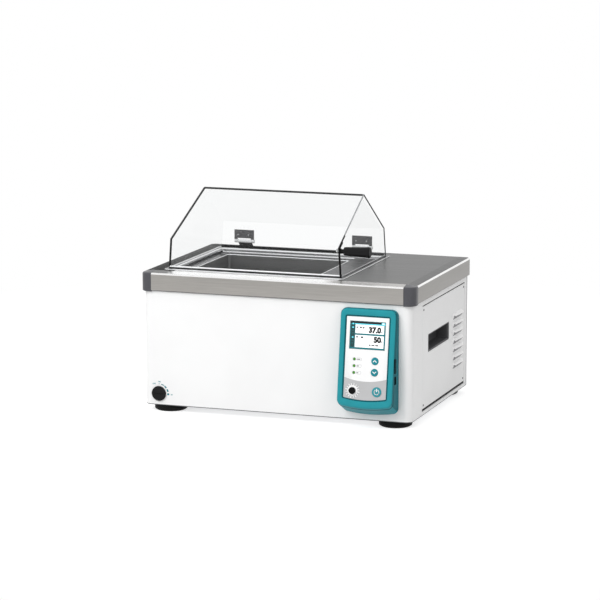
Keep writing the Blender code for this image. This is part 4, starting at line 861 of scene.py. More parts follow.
def louvre(face, front, back, low, high, bulge):
    """One pressed louvre: a bulge rounded at both ends, fullest at just over half its height, with no
    opening; the dark of an opening is painted shade in make_louvres.
    """
    height = high - low
    radius = height / 2
    length_steps, height_steps = 36, 14
    points, faces = [], []
    for row in range(height_steps + 1):
        share = row / height_steps
        z = low + height * share
        up = (z - low) / height
        reach = radius - sqrt(max(0.0, radius**2 - (z - low - radius) ** 2))
        rise = sin(min(1.0, up / 0.52) * pi / 2)
        fall = cos(max(0.0, (up - 0.52) / 0.48) * pi / 2) ** 0.8
        for column in range(length_steps + 1):
            across = column / length_steps
            y = front + reach + (back - front - 2 * reach) * across
            from_end = min(y - front - reach, back - reach - y)
            end = sin(min(1.0, max(0.0, from_end) / (radius * 1.1)) * pi / 2)
            points.append((face + bulge * rise * fall * end, y, z))
    width = length_steps + 1
    for row in range(height_steps):
        for column in range(length_steps):
            first = row * width + column
            faces.append((first, first + 1, first + width + 1, first + width))
    return points, faces


def make_side_panel(name, side):
    """Flush side panel with eased edges, the hand hold opening and, at the right, the louvres."""
    face = side_face(side)
    seam, lower = 0.0010, 0.0050
    front, back = window_front + seam, window_back - seam
    low, high = window_low + lower, window_high - 0.0022
    outer = rounded(front, back, low, high, 0.0015, 4)
    inset = drawn_in((front, back, low, high), 0.0004, 0.0011, 4)
    inner = face - side * sheet
    loops = [along_x(outer, inner), along_x(outer, face - side * 0.0004), along_x(inset, face)]
    points, faces = lofted(loops)
    node = f"side_panel_{hand(side)}"
    panel = bounded(name, (points, faces), white, replaces=[node])
    hold = hold_box()
    ends = sorted((face - side * 0.004, face + side * 0.004))
    opening = rounded(*hold, 0.0022, 5)
    carve(panel, lofted([along_x(opening, ends[0]), along_x(opening, ends[1])]))
    if side > 0:
        make_louvres(face)
    make_screws(side, face, front, back, low, high)
    make_seam_shadow(side, face)


def make_seam_shadow(side, face):
    """A black ring behind the seam of a side panel: painted shadow, so that the gap shows dark."""
    loops = []
    for grow, depth in ((0.003, 0.0016), (0.003, 0.0022), (-0.005, 0.0022), (-0.005, 0.0016)):
        outline = rounded(
            window_front - grow, window_back + grow, window_low - grow, window_high + grow, 0.002, 4,
        )
        loops.append(along_x(outline, face - side * depth))
    bounded(f"panel_seam_shadow_{hand(side)}", lofted(loops, ring=True), shadow_and_ink_black, smooth=0)


def make_louvres(face):
    back = body_back - 0.0355
    front = back - 0.0615
    shapes = []
    slot_shadows = []
    for number in range(7):
        high = band_top - louvre_top - number * louvre_step
        low = high - louvre_height
        shapes.append(louvre(face - 0.00005, front, back, low, high, 0.0057))
        # A thin grey strip along the hood's lower edge: painted shadow where an opening would be.
        slot = rounded(front + 0.005, back - 0.005, low - 0.0004, low + 0.0010, 0.0005, 3)
        slot_shadows.append(lofted([along_x(slot, face - 0.0003), along_x(slot, face + 0.0004)]))
    hoods = bounded(
        "louvre_hoods", merged(*shapes), [hood_highlight_white, louvre_shade], smooth=60,
    )
    # Painted shade: the lower part of each hood, thinning towards the back end, takes the grey shade.
    for polygon in hoods.data.polygons:
        y, z = polygon.center.y, polygon.center.z
        number = round((band_top - louvre_top - louvre_height / 2 - z) / louvre_step)
        up = (z - (band_top - louvre_top - louvre_height - number * louvre_step)) / louvre_height
        along = (y - front) / (back - front)
        if 0.04 < up < 0.62 - 0.22 * along and 0.04 < along < 0.86:
            polygon.material_index = 1
    bounded("louvre_slot_shadows", merged(*slot_shadows), louvre_slot_shadow)


def screw_head(x, y, z, side, radius=0.0021, rise=0.0007):
    """A small domed screw head with a cross recess, on a side face."""
    profile = [
        (radius, -0.0003), (radius, 0.0001), (radius * 0.85, rise * 0.7), (radius * 0.45, rise),
        (0.0001, rise),
    ]
    return turned([(r, side * d) for r, d in profile], (x, y, z), "X", 24)


def make_screws(side, face, front, back, low, high):
    inset = 0.0065
    places = [(front + inset, high - inset), (back - inset, high - inset)]
    places += [(front + inset, low + inset), (back - inset, low + inset)]
    heads = [screw_head(face, y, z, side) for y, z in places]
    # Black crosses on the heads: painted shadow of the cross recesses.
    crosses = []
    for y, z in places:
        out = sorted((face + side * 0.0004, face + side * 0.00075))
        for wide, tall in ((0.0011, 0.00025), (0.00025, 0.0011)):
            crosses.append(block(out[0], out[1], y - wide, y + wide, z - tall, z + tall))
    tag = hand(side)
    bounded(f"panel_screws_{tag}", merged(*heads), hinge_steel)
    bounded(f"screw_recess_shadows_{tag}", merged(*crosses), shadow_and_ink_black, smooth=0)


def make_hold(name, side):
    """Black moulded cup with a rolled mouth and sides that draw in towards its floor."""
    front, back, low, high = hold_box()
    mouth_x = side_face(side) - side * 0.0002
    profile = [(0.0012, 0.0286), (0.0002, 0.0270), (0.0002, 0.0006), (0.0008, 0.0), (0.0018, 0.0001)]
    profile += [(0.0024, 0.0010), (0.0030, 0.0050), (0.0036, 0.0240), (0.0060, 0.0258), (0.0090, 0.0262)]
    loops = []
    for inset, depth in profile:
        outline = drawn_in((front, back, low, high), inset, 0.0022 + inset * 0.3, 5)
        loops.append(along_x(outline, mouth_x - side * depth))
    points, faces = lofted(loops)
    node = f"hand_hold_{hand(side)}"
    bounded(name, (points, faces), hold_black, replaces=[node])
    lip = []
    for inset, out in ((0.0017, 0.00005), (0.0023, 0.0008), (0.0026, 0.0016), (0.0020, 0.0016)):
        outline = drawn_in((front, back, low, high), inset, 0.0022, 5)
        lip.append(along_x(outline, mouth_x - side * out))
    bounded(
        f"{name}_lip", lofted(lip, ring=True), plastic(f"{name}_edge", hexed(120, 120, 122), 0.35),
    )


def make_feet():
    """Moulded feet with a turned groove and a tread."""
    for tag in ("front_left", "front_right", "rear_left", "rear_right"):
        low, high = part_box(f"foot_{tag}")
        centre = ((low.x + high.x) / 2, (low.y + high.y) / 2, 0.0)
        profile = [
            (0.0100, 0.0008), (0.0120, 0.0), (0.0262, 0.0), (0.0275, 0.0006), (0.0300, 0.0022),
            (0.0305, 0.0030),
        ]
        profile += [(0.0305, 0.0068), (0.0301, 0.0073), (0.0301, 0.0077), (0.0305, 0.0082), (0.0303, 0.0098)]
        profile += [(0.0296, 0.0110), (0.0285, 0.01165)]
        bounded(
            f"pad_{tag}", turned(profile, centre, "Z", 96), black_soft,
            replaces=[f"foot_{tag}"],
        )


# ---------------------------------------------------------------- tank


def inside_or_on(x, y):
    """Whether a point lies within the rim's inner edge, its bend included."""
    return recess[0] - 0.0019 < x < recess[1] + 0.0019 and recess[2] - 0.0019 < y < recess[3] + 0.0019


def make_rim():
    """Pressed tank frame: rounded rim, recess wall with beads, and a soft-edged ledge."""
    def frame_at(grow, radius):
        return rounded(recess[0] - grow, recess[1] + grow, recess[2] - grow, recess[3] + grow, radius)

    def ledge_at(share, radius):
        edges = [a + (b - a) * share for a, b in zip(recess, mouth)]
        return rounded(*edges, radius)

    rim = [(0.0100, -0.0012), (0.0100, -0.0005)]
    rim += fillet((0.0100, -0.0005), (0.0100, 0.0), (0.0092, 0.0))[1:]
    rim += fillet((0.0018, 0.0), (0.0, 0.0), (0.0, -0.0016))
    loops = [level(frame_at(grow, 0.005 if grow > 0.005 else 0.006), rim_top + z) for grow, z in rim]
    loops += [level(frame_at(0.0, 0.006), rim_top - 0.0038), level(frame_at(0.0, 0.006), ledge_z + 0.0028)]
    loops += [level(frame_at(0.0, 0.006), ledge_z + 0.0012)]
    loops += [level(frame_at(-0.0004, 0.006), ledge_z + 0.0003), level(frame_at(-0.0012, 0.006), ledge_z)]
    loops += [level(ledge_at(0.96, basin_radius), ledge_z)]
    loops += [
        level(ledge_at(0.99, basin_radius), ledge_z - 0.0002),
        level(ledge_at(1.0, basin_radius), ledge_z - 0.0012),
    ]
    loops += [
        level(frame_at(0.0012, 0.0072), ledge_z - 0.0012), level(frame_at(0.0012, 0.0072), rim_top - 0.0012),
    ]
    points, faces = lofted(loops, ring=True)
    finishes = [tank_steel, recess_reflection_steel, rim_highlight_white, wall_foot_shadow]
    thing = bounded("tank_surround", (points, faces), finishes, replaces=["tank_frame"])
    for polygon in thing.data.polygons:
        x, y, z = polygon.center
        upright = abs(polygon.normal.z) < 0.6
        inside = recess[0] - 0.0006 < x < recess[1] + 0.0006 and recess[2] - 0.0006 < y < recess[3] + 0.0006
        # Recess walls and ledge take the recess finish; the lower part of the wall that faces +x takes the
        # painted shadow.
        if inside and (upright or z < ledge_z + 0.0009):
            polygon.material_index = 3 if polygon.normal.x > 0.5 and z < ledge_z + 0.0030 else 1
        # Painted highlight: the rim's rolled top edges and the ledge's edge round the mouth take the
        # near-white finish.
        near_mouth = mouth[0] - 0.0012 < x < mouth[1] + 0.0026 and mouth[2] - 0.0012 < y < mouth[3] + 0.0012
        rolled = -0.0020 < z - rim_top < -0.00005 and (inside_or_on(x, y) or polygon.normal.z > -0.3)
        if rolled or (near_mouth and ledge_z - 0.0014 < z < ledge_z + 0.0001 and polygon.normal.z > -0.5):
            polygon.material_index = 2
    # The recess bead is drawn in the painted highlight white.
    bead = []
    for step in range(12):
        angle = 2 * pi * step / 12
        bead.append(
            level(frame_at(-0.0005 + 0.0018 * cos(angle), 0.006), rim_top - 0.0021 + 0.0018 * sin(angle))
        )
    bounded("recess_bead", lofted(bead, ring=True), rim_highlight_white)


def make_ledge_cover():
    """The raised strip on the wide ledge beside the basin, over the drive."""
    left, right = mouth[1] + 0.0085, recess[1] - 0.006
    front, back = recess[2] + 0.004, recess[3] - 0.004
    low = ledge_z + 0.0002
    loops = []
    for inset, z in ((0.0, 0.0), (0.0, 0.0022), (0.0006, 0.0030), (0.0016, 0.0033)):
        loops.append(level(rounded(left + inset, right - inset, front + inset, back - inset, 0.003), low + z))
    cover = bounded("ledge_cover", lofted(loops), [cover_steel, bend_highlight_steel])
    # The cover's sides take the painted highlight.
    for polygon in cover.data.polygons:
        if polygon.normal.z < 0.95:
            polygon.material_index = 1


# ---------------------------------------------------------------- lid


def lid_section(inset):
    """The gable's (y, z) corners, drawn in by a wall thickness but open at the bottom."""
    front, back = lid_low.y + inset, lid_high.y - inset
    bottom = lid_low.z
    front_eave, back_eave = bottom + lid_front_eave, bottom + lid_back_eave
    ridge = bottom + lid_ridge_height
    ridge_y = lid_low.y + (lid_high.y - lid_low.y) * lid_ridge_share
    front_slope = (ridge - front_eave) / (ridge_y - lid_low.y)
    back_slope = (ridge - back_eave) / (lid_high.y - ridge_y)
    front_fall = inset * sqrt(1 + front_slope**2)
    back_fall = inset * sqrt(1 + back_slope**2)
    shift = (back_fall - front_fall) / (front_slope + back_slope)
    top = ridge_y - shift
    return [
        (front, bottom),
        (front, front_eave + (front - lid_low.y) * front_slope - front_fall),
        (top, front_eave + (top - lid_low.y) * front_slope - front_fall),
        (back, back_eave + (lid_high.y - back) * back_slope - back_fall),
        (back, bottom),
    ]


def lid_ends(y, z, inset=0.0):
    lean = (z - lid_low.z) * lid_draft_share + inset
    return (lid_low.x + lean, y, z), (lid_high.x - lean, y, z)


def make_lid():
    points = []
    for inset in (0.0, lid_wall):
        section = lid_section(inset)
        points += [lid_ends(y, z, inset)[0] for y, z in section]
        points += [lid_ends(y, z, inset)[1] for y, z in section]
    faces = []
    for shell in (0, 10):
        faces.append([shell + index for index in range(5)])
        faces.append([shell + 5 + index for index in range(5)])
        for index in range(4):
            faces.append((shell + index, shell + index + 1, shell + index + 6, shell + index + 5))
    ring = (0, 5, 9, 4)
    for index in range(4):
        first, second = ring[index], ring[(index + 1) % 4]
        faces.append((first, second, second + 10, first + 10))
    lid = bounded("lid_shell", (points, faces), glass, "lid_body", 20, ["lid"])
    bevelled(lid, 0.0006, 2)
    make_lid_edges()


def strip(start, end, width):
    """A thin rod from start to end, for a painted line along one bonded edge of the lid or down one rear edge
    of the wrap.
    """
    start, end = Vector(start), Vector(end)
    run = (end - start).normalized()
    across = run.cross(Vector((0, 0, 1)) if abs(run.z) < 0.9 else Vector((1, 0, 0))).normalized()
    up = run.cross(across)
    loops = []
    for point in (start, end):
        loop = []
        for step in range(10):
            angle = 2 * pi * step / 10
            loop.append(tuple(point + (across * cos(angle) + up * sin(angle)) * width / 2))
        loops.append(loop)
    return lofted(loops)


def lid_line(index, side, width, inset=0.0, share=1.0, proud=0.0):
    """A rod along one edge of an end wall, or its first share: 0 front, 1 front slope, 2 back slope, 3 back.

    It stands proud of the end wall by the last value.
    """
    edge = width / 2 + 0.0001
    section = lid_section(edge + inset)
    (y0, z0), (y1, z1) = section[index], section[index + 1]
    y1, z1 = y0 + (y1 - y0) * share, z0 + (z1 - z0) * share
    end = 0 if side < 0 else 1
    inward = edge - proud
    return strip(lid_ends(y0, z0, inward)[end], lid_ends(y1, z1, inward)[end], width)


def lid_bar(index, width, rise=0.0):
    """A rod across the lid: 0 front foot, 1 front eave, 2 ridge, 3 back eave, 4 back foot."""
    edge = width / 2 + 0.0001
    y, z = lid_section(edge)[index]
    if index in (0, 4):
        z += edge + rise
    left, right = lid_ends(y, z, edge)
    return strip(left, right, width)


def lid_foot(side, width):
    """A rod along the foot of an end wall."""
    edge = width / 2 + 0.0001
    section = lid_section(edge)
    end = 0 if side < 0 else 1
    z = lid_low.z + edge
    return strip(lid_ends(section[0][0], z, edge)[end], lid_ends(section[4][0], z, edge)[end], width)


def make_lid_edges():
    """Rods along the lid's bonded edges in black, dark grey, grey and white: painted shadow, reflection and
    highlight of the clear sheet's edges.
    """
    black_lines = [lid_line(0, -1, 0.0039), lid_line(1, -1, 0.0039), lid_bar(4, 0.0052), lid_bar(0, 0.0027)]
    black_lines += [
        lid_line(0, 1, 0.0030, proud=0.0012), lid_line(0, 1, 0.0018, 0.0036, proud=0.0010),
        lid_bar(2, 0.0038),
    ]
    black_lines += [lid_line(1, 1, 0.0032, 0.0, 0.22, 0.0016), lid_line(1, 1, 0.0018, 0.0046, 0.12, 0.0012)]
    dark_lines = [lid_line(2, 1, 0.0024, proud=0.0009), lid_line(3, 1, 0.0022, proud=0.0009)]
    pale_lines = [lid_line(1, 1, 0.0022, proud=0.0006), lid_foot(1, 0.0022)]
    white_lines = [lid_bar(0, 0.0030, 0.0022), lid_line(1, 1, 0.0016, 0.0026), lid_foot(-1, 0.0020)]
    groups = (("black", black_lines, edge_shadow_black), ("dark", dark_lines, edge_dark_painted))
    groups += (("pale", pale_lines, edge_grey_painted), ("white", white_lines, edge_white_highlight))
    for name, shapes, finish in groups:
        bounded(f"lid_{name}_edges", merged(*shapes), finish, "lid_body")


def make_handle():
    """Tapered black grip, crowned along its length, on a short dark neck."""
    low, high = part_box("lid_handle_grip")
    y, z = (low.y + high.y) / 2, (low.z + high.z) / 2
    start, end = low.x, high.x
    length = end - start
    profile = [(0.0027, 0.014), (0.0027, 0.0), (0.0062, 0.0), (0.0071, 0.0003), (0.0076, 0.0013)]
    for step in range(1, 10):
        share = step / 10
        profile.append((0.0078 + 0.0021 * share, 0.0016 + (length - 0.0046) * share))
    profile += [
        (0.01, length - 0.0030), (0.0098, length - 0.0014), (0.0090, length - 0.0004), (0.0080, length),
    ]
    profile += [(0.0060, length - 0.0002), (0.0010, length - 0.0003)]
    bounded(
        "grip", turned([(r, start + d) for r, d in profile], (0.0, y, z), "X", 72), black,
        "lid_body", 45, ["lid_handle_grip"],
    )
    collar = [
        (0.0026, start - 0.0073), (0.0046, start - 0.0073), (0.0048, start - 0.0068),
        (0.0048, start - 0.0058),
    ]
    collar += [
        (0.0042, start - 0.0050), (0.0036, start - 0.0046), (0.0036, start - 0.0006),
        (0.0026, start - 0.0006),
    ]
    bounded("grip_neck", turned(collar, (0.0, y, z), "X", 48, ring=True), black, "lid_body")


# ---------------------------------------------------------------- control panel


def on_face(x, down, out=0.0):
    """A point on the sloped face: x to the right, down the slope, and out of it."""
    y = panel_face_y - down * sin(panel_tilt) - out * cos(panel_tilt)
    z = panel_top - down * cos(panel_tilt) + out * sin(panel_tilt)
    return (x, y, z)


def face_place(x, down, out=0.0):
    """A frame on the sloped face, x to the right, y up the slope and z out of it."""
    return Matrix.Translation(on_face(x, down, out)) @ Matrix.Rotation(pi / 2 - panel_tilt, 4, "X")


def panel_outline(left, right, length, bow, radius, down=0.0, steps=8):
    outline = []
    corners = ((left, 0.0, 1, 1, pi), (right, 0.0, -1, 1, 3 * pi / 2))
    for x, y, side_x, side_y, start in corners:
        for step in range(steps + 1):
            angle = start + step / steps * pi / 2
            outline.append(
                (x + side_x * radius + radius * cos(angle), y + side_y * radius + radius * sin(angle))
            )
    for step in range(steps + 1):
        angle = step / steps * pi / 2
        outline.append((right - radius + radius * cos(angle), length - radius + radius * sin(angle)))
    for step in range(1, 16):
        share = step / 16
        outline.append(
            (right - radius - share * (right - left - 2 * radius), length + bow * 4 * share * (1 - share))
        )
    for step in range(steps + 1):
        angle = pi / 2 + step / steps * pi / 2
        outline.append((left + radius + radius * cos(angle), length - radius + radius * sin(angle)))
    return [(x, y + down) for x, y in outline]


def face_outline(inset):
    return panel_outline(
        panel_left + inset, panel_right - inset, panel_face_length - 2 * inset, panel_bow,
        max(panel_radius - inset, 0.003), inset,
    )


def window_outline(inset):
    edge = panel_border + inset
    length = panel_face_length - panel_border_top - panel_border_bottom - 2 * inset
    return panel_outline(
        panel_left + edge, panel_right - edge, length, panel_bow,
        max(plate_radius - inset, 0.0012), panel_border_top + inset,
    )


def mid_points(first, second, share):
    return [tuple(a + (b - a) * share for a, b in zip(p, q)) for p, q in zip(first, second)]


def scaled(loop, grow):
    """A loop across the housing drawn out or in from its middle."""
    middle_z = sum(point[2] for point in loop) / len(loop)
    return [(panel_x + (x - panel_x) * grow, y, middle_z + (z - middle_z) * grow) for x, y, z in loop]


def make_housing():
    """Teal shell of the control panel with a broad front radius and a stepped chin."""
    back = panel_outline(
        panel_left - panel_draft, panel_right + panel_draft, panel_base_length, panel_bow, panel_radius,
    )
    back = [(x, body_front - 0.0003, panel_top - down) for x, down in back]
    front = [on_face(x, down) for x, down in face_outline(0.0)]
    radius = 0.0034
    start = [
        mid_points([f], [b], min(0.45, radius / (Vector(f) - Vector(b)).length))[0]
        for f, b in zip(front, back)
    ]
    crown = [on_face(x, down) for x, down in face_outline(radius)]
    loops = [back, mid_points(back, front, 0.04), start]
    for step in range(1, 6):
        t = step / 5
        loop = []
        for a, b, c in zip(start, front, crown):
            loop.append(tuple((1 - t) ** 2 * p + 2 * t * (1 - t) * q + t * t * r for p, q, r in zip(a, b, c)))
        loops.append(loop)
    loops += [[on_face(x, down, out) for x, down in window_outline(inset)]
              for inset, out in ((-0.0010, 0.0), (-0.0003, -0.0003), (0.0, -0.0010), (0.0, -panel_wall))]
    inner = panel_outline(
        panel_left + panel_wall, panel_right - panel_wall, panel_face_length - 2 * panel_wall, panel_bow,
        panel_radius - panel_wall, panel_wall,
    )
    loops.append([on_face(x, down, -panel_wall) for x, down in inner])
    inner = panel_outline(
        panel_left - panel_draft + panel_wall, panel_right + panel_draft - panel_wall,
        panel_base_length - 2 * panel_wall, panel_bow, panel_radius - panel_wall, panel_wall,
    )
    loops.append([(x, body_front - 0.0003, panel_top - down) for x, down in inner])
    shell = bounded(
        "panel_shell", lofted(loops, ring=True), [teal, teal_side_shade], smooth=50,
        replaces=["panel_housing"],
    )
    # Faces turned sideways take the painted side shade.
    for polygon in shell.data.polygons:
        if abs(polygon.normal.x) > 0.75:
            polygon.material_index = 1
    near, far = mid_points(start, back, 0.10), mid_points(start, back, 0.155)
    steps = ((near, 0.999), (near, 1.007), (far, 1.007), (far, 0.999))
    bounded(
        "shell_parting_line", lofted([scaled(loop, grow) for loop, grow in steps], ring=True), teal_dark_and_shade,
        smooth=0,
    )
    low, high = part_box("data_socket")
    y, z = (low.y + high.y) / 2, (low.z + high.z) / 2
    hole = rounded(y - 0.0043, y + 0.0043, z - 0.0075, z + 0.0075, 0.0012, 4)
    carve(shell, lofted([along_x(hole, panel_right - 0.007), along_x(hole, panel_right + 0.004)]))


def face_sheet(name, outlines, finish, body="casing", replaces=()):
    """A thin raised sheet on the sloped face, from (outline, out) pairs in face coordinates."""
    loops = [[on_face(x, down, out) for x, down in outline] for outline, out in outlines]
    return bounded(name, lofted(loops), finish, body, 30, replaces)


def disc(x, down, radius, sides=48):
    return [
        (x + radius * cos(2 * pi * s / sides), down + radius * sin(2 * pi * s / sides)) for s in range(sides)
    ]


def make_plate():
    """White face plate with its openings, and the grey field below the arc."""
    top = -plate_recess
    outline = window_outline(0.0003)
    eased = window_outline(0.0007)
    plate = face_sheet(
        "panel_plate",
        [(outline, top - 0.002), (outline, top - 0.0003), (eased, top)],
        plate_white, replaces=["face_plate"],
    )
    half_w, half_h = 0.0334 + 0.0003, 0.0251 + 0.0003
    window = [(panel_x - half_w, 0.0469 - half_h), (panel_x + half_w, 0.0469 - half_h),
              (panel_x + half_w, 0.0469 + half_h), (panel_x - half_w, 0.0469 + half_h)]
    tools = [window]
    tools += [disc(panel_x + lamp_x, d, 0.0026, 32) for d in lamp_downs]
    tools += [disc(panel_x + key_x, d, 0.0070) for d in (up_down, down_down)]
    tools += [disc(panel_x + power_x, power_down, 0.0093), disc(panel_x + jog_x, jog_down, 0.0033, 32)]
    for tool in tools:
        loops = [[on_face(x, down, out) for x, down in tool] for out in (top - 0.006, top + 0.006)]
        carve(plate, lofted(loops))
    make_lower_field(top)
    # A dark teal ring round the window's edge: painted recess shadow.
    loops = []
    for inset, out in (
        (0.0001, top - 0.0002), (0.0001, top + 0.0005), (0.0025, top + 0.0002), (0.0025, top - 0.0002),
    ):
        loops.append([on_face(x, down, out) for x, down in window_outline(inset)])
    bounded("plate_recess_shadow", lofted(loops, ring=True), teal_dark_and_shade, smooth=0)


def make_lower_field(top):
    """The grey lower field: its upper edge is an arc that sags in the middle."""
    full = window_outline(0.0010)
    left, right = panel_left + panel_border + 0.0010, panel_right - panel_border - 0.0010
    lower = [(x, d) for x, d in full if d > 0.14]
    lower.sort(key=lambda p: p[0])
    arc = []
    for step in range(25):
        share = step / 24
        x = left + (right - left) * share
        arc.append((x, 0.1232 + 0.0068 * 4 * share * (1 - share)))
    outline = arc + lower[::-1]
    points = [on_face(x, d, top + 0.00008) for x, d in outline]
    grid = bmesh.new()
    face = grid.faces.new([grid.verts.new(p) for p in points])
    bmesh.ops.triangulate(grid, faces=[face])
    mesh = bpy.data.meshes.new("lower_field")
    grid.to_mesh(mesh)
    grid.free()
    field = added("lower_field", mesh, plate_grey, smooth=0)
    modifier = field.modifiers.new("Solidify", "SOLIDIFY")
    modifier.thickness = 0.00006
    modifier.offset = 0.0


def patch(name, left, right, top, bottom, out, finish, rise=0.00008, radius=0.0):
    """A thin printed or lit rectangle on the face; x from the panel's middle."""
    if radius:
        outline = rounded(panel_x + left, panel_x + right, top, bottom, radius, 6)
    else:
        outline = [
            (panel_x + left, top), (panel_x + right, top), (panel_x + right, bottom),
            (panel_x + left, bottom),
        ]
    return face_sheet(name, [(outline, out), (outline, out + rise)], finish)


def make_screen():
    """The display: glass body, teal frame and column, two white rows and their figures."""
    glass_out = -plate_recess - 0.0002
    left, right, top, bottom = -0.0334, 0.0334, 0.0218, 0.0720
    outline = [
        (panel_x + left, top), (panel_x + right, top), (panel_x + right, bottom), (panel_x + left, bottom),
    ]
    eased = [(panel_x + left + 0.0003, top + 0.0003), (panel_x + right - 0.0003, top + 0.0003),
             (panel_x + right - 0.0003, bottom - 0.0003), (panel_x + left + 0.0003, bottom - 0.0003)]
    face_sheet(
        "screen_body",
        [(outline, glass_out - 0.006), (outline, glass_out - 0.0004), (eased, glass_out - 0.0002)],
        screen_teal, replaces=["display"],
    )
    out = glass_out - 0.0002
    patch("screen_bar", left + 0.0004, right - 0.0004, top + 0.0004, top + 0.0042, out, screen_black)
    patch("screen_underline", left + 0.0088, right - 0.0007, top + 0.0042, top + 0.0058, out, screen_cyan)
    patch("screen_column", left + 0.0018, left + 0.0090, top + 0.0064, bottom - 0.0030, out, screen_deep)
    patch("screen_row_1", left + 0.0102, right - 0.0026, top + 0.0062, top + 0.0219, out, screen_white)
    patch("screen_row_2", left + 0.0102, right - 0.0026, top + 0.0250, bottom - 0.0032, out, screen_white)
    patch(
        "screen_corner", right - 0.0078, right - 0.0008, top + 0.0010, top + 0.0048, out + 0.00009,
        screen_cyan, radius=0.0008,
    )
    patch(
        "screen_corner_white", right - 0.0062, right - 0.0024, top + 0.0018, top + 0.0040, out + 0.00018,
        screen_white, radius=0.0007,
    )
    for number, down in enumerate((0.0036, 0.0102, 0.0280)):
        patch(
            f"screen_icon_{number + 1}", left + 0.0042, left + 0.0072, top + down, top + down + 0.0028,
            out + 0.00009, screen_cyan, radius=0.0008,
        )
    for number, down in enumerate((0.0165, 0.0215, 0.0345, 0.0395)):
        patch(
            f"screen_tick_{number + 1}", left + 0.0040, left + 0.0070, top + down, top + down + 0.0010,
            out + 0.00009, screen_teal,
        )
    flat = out + 0.00012
    lettered("figure_upper", "37.0", 0.0134, face_place(panel_x + 0.0134, 0.0371, flat), shadow_and_ink_black, 0.00085)
    lettered("figure_lower", "50", 0.0134, face_place(panel_x + 0.0188, 0.0544, flat), shadow_and_ink_black, 0.00085)
    marks = (
        (-0.0200, 0.0332, 0.0020), (-0.0130, 0.0330, 0.0030), (-0.0080, 0.0332, 0.0026),
        (-0.0195, 0.0502, 0.0026), (-0.0100, 0.0506, 0.0038), (0.0268, 0.0400, 0.0012),
        (0.0264, 0.0572, 0.0014),
    )
    for number, (x, down, width) in enumerate(marks):
        patch(
            f"screen_mark_{number + 1}", x - width * 0.62, x + width * 0.62, down - 0.0015, down + 0.0015,
            out + 0.00009, ink_mark, radius=0.0005,
        )
    for number, (x, width) in enumerate(((0.0050, 0.0030), (0.0112, 0.0050), (0.0182, 0.0050))):
        patch(
            f"screen_line_{number + 1}", x - width * 0.55, x + width * 0.55, 0.0628, 0.0652, out + 0.00009,
            ink_mark, radius=0.0005,
        )


def round_key(name, node, x, down, radius, finish, body):
    """A dished push button with a soft edge."""
    top = key_top
    profile = [(0.0025, -0.006), (0.0025, top - 0.002), (radius, top - 0.002), (radius, top - 0.0007)]
    profile += [
        (radius - 0.0002, top - 0.0003), (radius - 0.0007, top), (radius * 0.7, top - 0.00012),
        (radius * 0.3, top - 0.0002),
    ]
    loops = [[on_face(x0, d0, out) for x0, d0 in disc(panel_x + x, down, r, 64)] for r, out in profile]
    bounded(name, lofted(loops), finish, body, 40, [node])


def stroke_shape(path, width, out, rise=0.00012):
    """A line of even width along a path on the face, with square ends."""
    shapes = []
    for (x0, d0), (x1, d1) in zip(path, path[1:]):
        length = sqrt((x1 - x0) ** 2 + (d1 - d0) ** 2)
        along = ((x1 - x0) / length, (d1 - d0) / length)
        side = (-along[1] * width / 2, along[0] * width / 2)
        extra = width * 0.35
        a = (x0 - along[0] * extra, d0 - along[1] * extra)
        b = (x1 + along[0] * extra, d1 + along[1] * extra)
        outline = [(a[0] + side[0], a[1] + side[1]), (b[0] + side[0], b[1] + side[1]),
                   (b[0] - side[0], b[1] - side[1]), (a[0] - side[0], a[1] - side[1])]
        shapes.append(
            lofted(
                [[on_face(x, d, out) for x, d in outline], [on_face(x, d, out + rise) for x, d in outline]]
            )
        )
    return merged(*shapes)


def make_keys():
    round_key("key_up", "up_button", key_x, up_down, 0.0067, key_teal, "up_body")
    round_key("key_down", "down_button", key_x, down_down, 0.0067, key_teal, "down_body")
    round_key("key_power", "power_button", power_x, power_down, 0.0090, power_teal, "power_body")
    out = key_top - 0.00015
    for name, down, way, body in (
        ("chevron_up", up_down, -1, "up_body"), ("chevron_down", down_down, 1, "down_body"),
    ):
        x = panel_x + key_x
        path = [
            (x - 0.0029, down - way * 0.0014), (x, down + way * 0.0015), (x + 0.0029, down - way * 0.0014),
        ]
        bounded(name, stroke_shape(path, 0.0014, out), ink_white, body, 0)
    x, down = panel_x + power_x, power_down
    arc = []
    for step in range(25):
        angle = radians(-55 + step / 24 * 290)
        arc.append((x + 0.0044 * cos(angle), down + 0.0044 * sin(angle)))
    bounded(
        "power_sign",
        merged(
            stroke_shape(arc, 0.0015, out),
            stroke_shape([(x, down - 0.0056), (x, down - 0.0010)], 0.0015, out),
        ),
        ink_white, "power_body", 0,
    )


